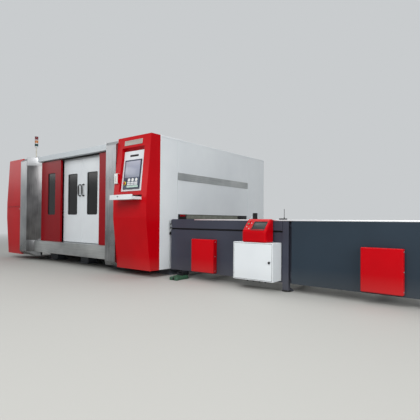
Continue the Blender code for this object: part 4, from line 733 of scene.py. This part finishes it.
def add_table_strips():
    """Bright strips on the table's long edges, painted highlights of their lit top edges, and a black strip
    in the gap below the apron, painted shadow.
    """
    low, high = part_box("table_apron")
    front, top = low.y, high.z
    near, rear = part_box("table_panel_near"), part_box("table_panel_rear")
    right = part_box("table_panel_far")[1].x - 0.001
    # Both strips' bright aluminium is a painted highlight of the lit, rounded top edge.
    strip = add_block(
        "table_edge_highlight_strip", (0.757, front - 0.0015, top - 0.014),
        (right, front + 0.062, top + 0.0015), 0.0006)
    finish(strip, edge_highlight_metal, "stainless")
    back = rear[1].y
    strip = add_block(
        "rear_edge_highlight_strip", (rear[0].x + 0.01, back - 0.062, top + 0.0002),
        (right, back + 0.0015, top + 0.0017), 0.0006)
    finish(strip, edge_highlight_metal, "stainless")
    # The black rubber strip is painted shadow: it darkens the gap below the apron.
    shadow = add_block(
        "apron_shadow_strip", (near[0].x + 0.004, near[0].y + 0.020, near[1].z - 0.03),
        (near[1].x, near[0].y + 0.026, low.z + 0.03), 0.001)
    finish(shadow, rubber, "black_plastic")


def add_table_latch():
    """Two plates with a bolt between them, and a knob, on the table's left end."""
    start, inset = 0.22, 0.014
    seat = seat_on("table_apron", (start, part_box("table_apron")[0].y + inset, 0.792), to_right)
    plates = [
        add_block(f"table_latch_plates_{index}", (-0.012, up, 0), (0.016, up + 0.016, 0.045), 0.002, seat)
        for index, up in enumerate((0.018, -0.044))
    ]
    finish(join(plates), black_plastic, "black_plastic")
    bolt = [(0, 0.008), (0.040, 0.008), (0.042, 0.006)]
    finish(add_turned("table_latch_bolt", bolt, shifted(seat, up=-0.004), 16), zinc_plate, "bright_steel")
    seat = seat_on("table_panel_near", (start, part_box("table_panel_near")[0].y + inset, 0.672), to_right)
    knob = [(0, 0.007), (0.012, 0.007), (0.014, 0.016), (0.018, 0.024), (0.030, 0.024), (0.037, 0.017)]
    finish(add_turned("table_knob", knob, seat), black_plastic, "black_plastic")


def add_table_fittings():
    """The sensor post on the table's top, and the thin rod on its foot."""
    low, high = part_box("table_apron")
    front, top = low.y, high.z
    sensor = add_block(
        "table_sensor", (1.772, front + 0.012, top), (1.820, front + 0.060, top + 0.088), 0.004)
    shape(sensor, "FACE", lambda face: face.normal.y < -0.9)
    bpy.ops.mesh.inset(thickness=0.006, depth=-0.003)
    done()
    finish(sensor, black_plastic, "black_plastic")
    foot = add_block("rod_foot", (2.166, front + 0.010, top), (2.262, front + 0.055, top + 0.018), 0.004)
    profile = [(0, 0.006), (0.016, 0.006), (0.018, 0.0032), (0.118, 0.0032), (0.120, 0.002)]
    rod = add_turned("rod", profile, facing(upwards, (2.228, front + 0.034, top + 0.017)), 12)
    finish(join([foot, rod]), black_plastic, "black_plastic")


def add_cover_screws():
    """Button-head screws on both sides of the two red covers."""
    away = 0.3
    for node in ("cover_small", "cover_large"):
        low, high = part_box(node)
        middle = (low.y + high.y) / 2
        screws = []
        for side, start in ((1, high.x + away), (-1, low.x - away)):
            for share in (0.07, 0.5, 0.93):
                seat = seat_on(node, (start, middle, low.z + share * (high.z - low.z)), (-side, 0, 0))
                name = f"{node}_screw_{len(screws)}"
                screws.append(add_turned(name, screw_profile(0.007, 0.004), seat, 16))
        finish(join(screws), zinc_plate, "bright_steel")


def add_console_details():
    """The console's display with its frame, and the small buttons beside it."""
    x, z, aside = 1.970, 0.815, 0.110
    seat = front_seat("operator_console", x, z)
    pane = add_block("console_pane", (-0.0895, -0.0655, -0.0002), (0.0895, 0.0655, 0.0008), 0.0004, seat)
    finish(pane, dark_pane, "tinted_glass")
    rim = shifted(front_seat("operator_console", x - aside, z), aside)
    border = add_ring("console_screen_frame", (-0.0985, -0.0745), (0.0985, 0.0745), 0.006, 0.009, 0.0015, rim)
    finish(border, black_plastic, "black_plastic")
    profile = [(0, 0.0065), (0.003, 0.0065), (0.004, 0.0052), (0.006, 0.0050), (0.007, 0.0040)]
    for name, x, z, material in (
        ("console_lamp", 1.842, 0.847, pale_plastic), ("console_key_left", 1.794, 0.800, aged_plastic),
        ("console_key_right", 1.838, 0.779, aged_plastic),
    ):
        finish(add_turned(name, profile, front_seat("operator_console", x, z), 18), material, "grey_plastic")


def add_box_details():
    """The electrical box's hinge pins, the seal and lip round its door and the cable glands below it."""
    low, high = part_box("box_door")
    barrel = [(0, 0.0040), (0.002, 0.0048), (0.052, 0.0048), (0.054, 0.0040)]
    pin = add_turned("box_hinges", barrel, facing(upwards, (low.x, low.y, low.z + 0.05)), 36)
    finish(repeat(pin, [(0, 0, high.z - low.z - 0.154)]), zinc_plate, "bright_steel", "box_door")
    for name, y, past, corner, width, thick in (
        ("box_door_seal", high.y, 0.005, 0.004, 0.008, 0.004),
        ("box_seal_lip", low.y, 0.004, 0.003, 0.0035, 0.0006),
    ):
        lower, upper = (low.x - past, low.z - past), (high.x + past, high.z + past)
        ring = add_ring(name, lower, upper, corner, width, thick, facing(to_front, (0, y, 0)))
        finish(ring, rubber, "black_plastic")
    low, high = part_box("electrical_box")
    nut = [
        (0, 0.016), (0.010, 0.016), (0.011, 0.019), (0.022, 0.019), (0.024, 0.014), (0.034, 0.011),
        (0.036, 0.007),
    ]
    gland = add_turned("cable_glands", nut, facing(downwards, (low.x + 0.14, high.y - 0.09, low.z)))
    finish(repeat(gland, [(0.09 * step, 0, 0) for step in (1, 2, 3)]), black_plastic, "black_plastic")


def add_switchgear(seat):
    """Contactors and relays on the upper rail, terminals on the lower one, each with an inset face."""
    for name, width, height, depth, start, pitch, count, up, material in (
        ("contactors", 0.044, 0.078, 0.080, -0.190, 0.050, 4, 0.105, black_plastic),
        ("relays", 0.016, 0.070, 0.065, 0.010, 0.019, 10, 0.105, pale_plastic),
        ("terminals", 0.010, 0.050, 0.045, -0.200, 0.0125, 33, -0.105, aged_plastic),
    ):
        lower = (start - width / 2, up - height / 2, 0.010)
        upper = (start + width / 2, up + height / 2, depth)
        block = add_block(name, lower, upper, 0.0015)
        shape(block, "FACE", lambda face: face.normal.z > 0.9)
        bpy.ops.mesh.inset(thickness=width * 0.2, depth=depth * 0.12)
        done()
        set_in_place(block, seat)
        finish(repeat(block, [(pitch * step, 0, 0) for step in range(1, count)]), material, "grey_plastic")


def add_box_interior():
    """The mounting plate in the electrical box, with its rails, its switchgear and a wire duct."""
    low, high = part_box("electrical_box")
    middle = ((low.x + high.x) / 2, low.y + 0.04, (low.z + high.z) / 2)
    seat = seat_on("electrical_box", middle, to_back)
    plate = add_block("box_mounting_plate", (-0.240, -0.190, 0), (0.240, 0.190, 0.003), 0.0012, seat)
    finish(plate, galvanised, "bright_steel")
    rails = [
        add_block(f"box_rails_{up}", (-0.220, up - 0.0175, 0.003), (0.220, up + 0.0175, 0.010), 0.0012, seat)
        for up in (0.105, -0.105)
    ]
    finish(join(rails), zinc_plate, "bright_steel")
    add_switchgear(seat)
    duct = add_block("wire_duct", (-0.220, -0.025, 0.003), (0.220, 0.025, 0.055), 0.002, seat)
    shape(duct, "FACE", lambda face: face.normal.y < -0.9)
    bpy.ops.mesh.inset(thickness=0.004, depth=-0.0015)
    done()
    finish(duct, pale_plastic, "grey_plastic")


def add_wedge_mount(side, edge, way):
    """A green cast levelling mount with two lobes, its adjusting screw and a bracket up to the table."""
    name, x, long = "wedge_mount_" + side, 0.590, 0.235
    near, far = sorted((edge + way * 0.01, edge + way * long))
    body = add_block(name, (x - 0.072, near, 0.0), (x + 0.072, far, 0.040), 0.008)
    shape(body, "FACE", lambda face: face.normal.z > 0.9)
    bpy.ops.mesh.inset(thickness=0.018, depth=0)
    bpy.ops.transform.translate(value=(0, 0, 0.012))
    done()
    lobe = [(0, 0.032), (0.006, 0.037), (0.036, 0.035), (0.044, 0.027), (0.046, 0.016)]
    lobe_y = edge + way * 0.250
    lobes = [
        add_turned(f"{name}_lobe_{step}", lobe, facing(upwards, (x + step * 0.046, lobe_y, 0)), 24)
        for step in (-1, 1)
    ]
    finish(join([body, *lobes]), green_enamel, "green_plastic")
    head = [(0, 0.010), (0.030, 0.010), (0.030, 0.015), (0.042, 0.015), (0.044, 0.012)]
    screw = add_turned(name + "_screw", head, facing((0, way, 0), (x, edge + way * 0.236, 0.026)), 12)
    finish(screw, dark_metal, "dark_steel")
    near, far = sorted((edge - way * 0.03, edge + way * 0.110))
    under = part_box("table_panel_near")[0].z
    bracket = add_block("mount_bracket_" + side, (x - 0.075, near, 0.0515), (x + 0.035, far, under), 0.004)
    shape(bracket, "FACE", lambda face: face.normal.y * way > 0.9)
    bpy.ops.mesh.inset(thickness=0.010, depth=-0.030)
    done()
    finish(bracket, dark_metal, "dark_steel")


def add_feet():
    """The wedge mounts below the first pair of legs, and black pads round the feet of the others."""
    low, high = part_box("table_frame")
    add_wedge_mount("front", low.y, -1)
    add_wedge_mount("rear", high.y, 1)
    pad = [(0, 0.058), (0.003, 0.062), (0.014, 0.062), (0.020, 0.050), (0.022, 0.030)]
    leg_y = (low.y + 0.041, high.y - 0.041)
    pads = [
        add_turned(f"foot_pads_{x}_{y}", pad, facing(upwards, (x, y, 0)), 24)
        for x in (2.264, 4.42) for y in leg_y
    ]
    finish(join(pads), rubber, "black_plastic")


def add_louvres(name, seat, width, rows, pitch=0.034):
    """A field of pressed louvres: one blade, its lower edge pulled out, repeated up the sheet."""
    blade = add_block(name, (-width / 2, 0, 0), (width / 2, 0.020, 0.012), 0.003)
    shape(blade, "VERT", lambda point: point.co.z > 0.006 and point.co.y > 0.010)
    bpy.ops.transform.translate(value=(0, 0, -0.010))
    done()
    repeat(blade, [(0, pitch * row, 0) for row in range(1, rows)])
    finish(set_in_place(blade, seat), white_coat, "white_paint")


def add_rear_door(index, x):
    """The louvres, the swing handle and the three hinges of one rear door."""
    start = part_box("rear_wall")[1].y + 1
    add_louvres(f"rear_louvres_{index}", seat_on("rear_wall", (x, start, 1.62), to_front), 0.60, 8)
    seat = seat_on("rear_wall", (x - 0.47, start, 1.10), to_front)
    plate = add_block(f"rear_handle_{index}", (-0.017, -0.09, 0), (0.017, 0.09, 0.006), 0.003, seat)
    lever = add_block(f"rear_lever_{index}", (-0.010, -0.078, 0.006), (0.010, 0.052, 0.020), 0.005, seat)
    finish(join([plate, lever]), black_plastic, "black_plastic")
    seat = seat_on("rear_wall", (x + 0.545, start, 0.45), to_front)
    barrel = add_block(f"rear_hinges_{index}", (-0.012, 0, 0), (0.012, 0.07, 0.010), 0.004, seat)
    finish(repeat(barrel, [(0, 0, 0.62), (0, 0, 1.24)]), black_plastic, "black_plastic")


def add_rear_details():
    """The fittings of the two rear doors, and the louvres in the left wall."""
    left, enclosure_length = cad_box[0][0], 4.82
    for index, share in enumerate((0.25, 0.75)):
        add_rear_door(index, left + enclosure_length * share)
    add_louvres("left_louvres", seat_on("left_end_wall", (left - 1, 0.55, 1.35), to_right), 0.70, 12)


def add_lifting_eye(index, seat):
    """A ring screwed into the roof by a turned shank."""
    profile = [(0, 0.030), (0.006, 0.030), (0.008, 0.016), (0.022, 0.014)]
    shank = add_turned(f"lifting_eye_{index}", profile, seat, 20)
    bpy.ops.object.select_all(action="DESELECT")
    bpy.ops.mesh.primitive_torus_add(
        major_segments=28, minor_segments=10, major_radius=0.026, minor_radius=0.007,
        rotation=(math.pi / 2, 0, 0))
    bpy.context.object.scale = (1, 1.15, 1)
    eye = just_added(f"lifting_eye_ring_{index}", shifted(seat, out=0.050))
    finish(join([shank, eye]), zinc_plate, "bright_steel")


def add_roof_details():
    """Four lifting eyes and the exhaust collar on the roof."""
    low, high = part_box("roof_panel")
    start = 4
    places = [(x, y) for x in (low.x + 0.35, high.x - 0.35) for y in (low.y + 0.30, high.y - 0.30)]
    for index, place in enumerate(places):
        add_lifting_eye(index, seat_on("roof_panel", (*place, start), downwards))
    seat = seat_on("roof_panel", (high.x - 0.62, high.y - 0.55, start), downwards)
    profile = [
        (0, 0.150), (0.004, 0.150), (0.005, 0.126), (0.075, 0.125), (0.078, 0.128), (0.082, 0.128),
        (0.082, 0.120), (0.012, 0.119),
    ]
    finish(add_turned("exhaust_collar", profile, seat, 48), galvanised, "bright_steel")


def add_motor_details():
    """The gearmotor's fan cover, its cooling ribs and its terminal box."""
    low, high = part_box("drive_motor")
    x, z = (low.x + high.x) / 2, (low.z + high.z) / 2
    seat = seat_on("drive_motor", (x, low.y - 1, z), to_back)
    profile = [
        (-0.085, 0.0765), (-0.080, 0.080), (0.006, 0.080), (0.012, 0.074), (0.012, 0.052), (0.009, 0.050),
        (0.009, 0.020), (0.013, 0.016),
    ]
    finish(add_turned("motor_fan_cover", profile, seat, 32), black_plastic, "black_plastic")
    rib = add_block("motor_ribs", (-0.0018, 0.072, -0.275), (0.0018, 0.086, -0.095), 0.0008)
    count = 20
    turns = [Matrix.Rotation(math.tau * step / count, 4, "Z") for step in range(1, count)]
    finish(set_in_place(copy_by(rib, turns), seat), dark_metal, "dark_steel")
    terminal = add_block(
        "motor_terminal_box", (x - 0.045, low.y + 0.12, z + 0.078),
        (x + 0.045, low.y + 0.22, z + 0.128), 0.006)
    finish(terminal, dark_metal, "dark_steel")


def add_head_details():
    """The cutting head's focus collar and its ceramic ring."""
    low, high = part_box("cutting_nozzle")
    x, y, collar_height = (low.x + high.x) / 2, (low.y + high.y) / 2, 1.30
    rim = [(-0.014, 0.0168), (-0.013, 0.0185), (-0.001, 0.0185), (0, 0.0168)]
    ceramic = add_turned("nozzle_ceramic", rim, facing(upwards, (x, y, high.z)))
    finish(ceramic, white_plastic, "grey_plastic", "head")
    rim = [(0, 0.0555), (0.001, 0.059), (0.028, 0.059), (0.029, 0.0555)]
    collar = add_turned("focus_collar", rim, facing(upwards, (x, y, collar_height)), 36)
    finish(collar, copper, "bright_steel", "head")


backdrop_colour = "#C9CCCE"


def seen_directly(tree):
    """One where a ray comes from the camera, a reflection or a pane, nought where it lights the machine."""
    path = add_node(tree, "ShaderNodeLightPath")
    either = add_node(
        tree, "ShaderNodeMath", {"operation": "MAXIMUM"},
        {0: path.outputs["Is Camera Ray"], 1: path.outputs["Is Glossy Ray"]})
    any_ray = add_node(
        tree, "ShaderNodeMath", {"operation": "MAXIMUM"},
        {0: either.outputs[0], 1: path.outputs["Is Transmission Ray"]})
    return any_ray.outputs[0]


def add_floor():
    """A plain pale floor that runs into the pale backdrop some metres away from the machine."""
    bpy.ops.object.select_all(action="DESELECT")
    bpy.ops.mesh.primitive_plane_add(size=90)
    floor = just_added("floor")
    material, tree, shader, place = new_finish(
        "pale_floor", {"Roughness": 0.7, "Base Color": hex_colour("#A9A9A5")})
    reach = add_node(tree, "ShaderNodeVectorMath", {"operation": "LENGTH"}, {0: place})
    far = add_node(
        tree, "ShaderNodeMapRange", {"From Min": 7.0, "From Max": 20.0}, {"Value": reach.outputs["Value"]})
    share = add_node(
        tree, "ShaderNodeMath", {"operation": "MULTIPLY"}, {0: far.outputs["Result"], 1: seen_directly(tree)})
    glow = add_node(tree, "ShaderNodeEmission", {"Color": hex_colour(backdrop_colour), "Strength": 1.0})
    mixed = add_node(
        tree, "ShaderNodeMixShader",
        links={0: share.outputs[0], 1: shader.outputs[0], 2: glow.outputs[0]})
    tree.links.new(mixed.outputs[0], tree.nodes["Material Output"].inputs["Surface"])
    floor.data.materials.append(material)


def set_backdrop():
    """A pale room: plain light on the machine, and a pale wall that the camera and reflections see."""
    world = bpy.data.worlds.new("pale_room")
    bpy.context.scene.world = world
    world.use_nodes = True
    tree = world.node_tree
    lit = tree.nodes["Background"]
    lit.inputs["Color"].default_value = hex_colour("#F2F4F6")
    lit.inputs["Strength"].default_value = 0.32
    seen = add_node(tree, "ShaderNodeBackground", {"Color": hex_colour(backdrop_colour), "Strength": 1.0})
    mixed = add_node(
        tree, "ShaderNodeMixShader", links={0: seen_directly(tree), 1: lit.outputs[0], 2: seen.outputs[0]})
    tree.links.new(mixed.outputs[0], tree.nodes["World Output"].inputs["Surface"])


def add_lamps():
    """Soft lamps in front, at the right end and above, and a long low window far to the left."""
    for name, place, aim, size, height, power in (
        ("key_lamp", (3.2, -9.0, 7.0), (1.8, 0.0, 0.6), 6.0, 6.0, 780),
        ("side_lamp", (10.5, -4.0, 4.0), (1.0, 0.0, 0.9), 5.0, 4.0, 450),
        ("top_lamp", (-1.0, 1.0, 9.0), (0.0, 0.0, 0.0), 8.0, 8.0, 520),
        ("far_window_lamp", (-13.7, -9.0, 4.9), (-2.0, -1.4, 1.6), 12.0, 3.5, 250),
    ):
        bpy.ops.object.light_add(type="AREA", location=place)
        lamp = bpy.context.object
        lamp.name = name
        lamp.data.shape = "RECTANGLE"
        lamp.data.size, lamp.data.size_y = size, height
        lamp.data.energy = power
        lamp.rotation_euler = (Vector(aim) - Vector(place)).to_track_quat("-Z", "Y").to_euler()


bpy.context.scene.view_settings.view_transform = "Standard"
set_camera()
dress_nodes()
add_door_details()
add_portal_details()
add_cabinet_details()
add_screen()
add_switch_details()
add_drawer_lock()
add_keyboard_keys()
add_signal_tower()
add_wall_slot()
add_table_strips()
add_table_latch()
add_table_fittings()
add_cover_screws()
add_console_details()
add_box_details()
add_box_interior()
add_feet()
add_rear_details()
add_roof_details()
add_motor_details()
add_head_details()
add_floor()
set_backdrop()
add_lamps()
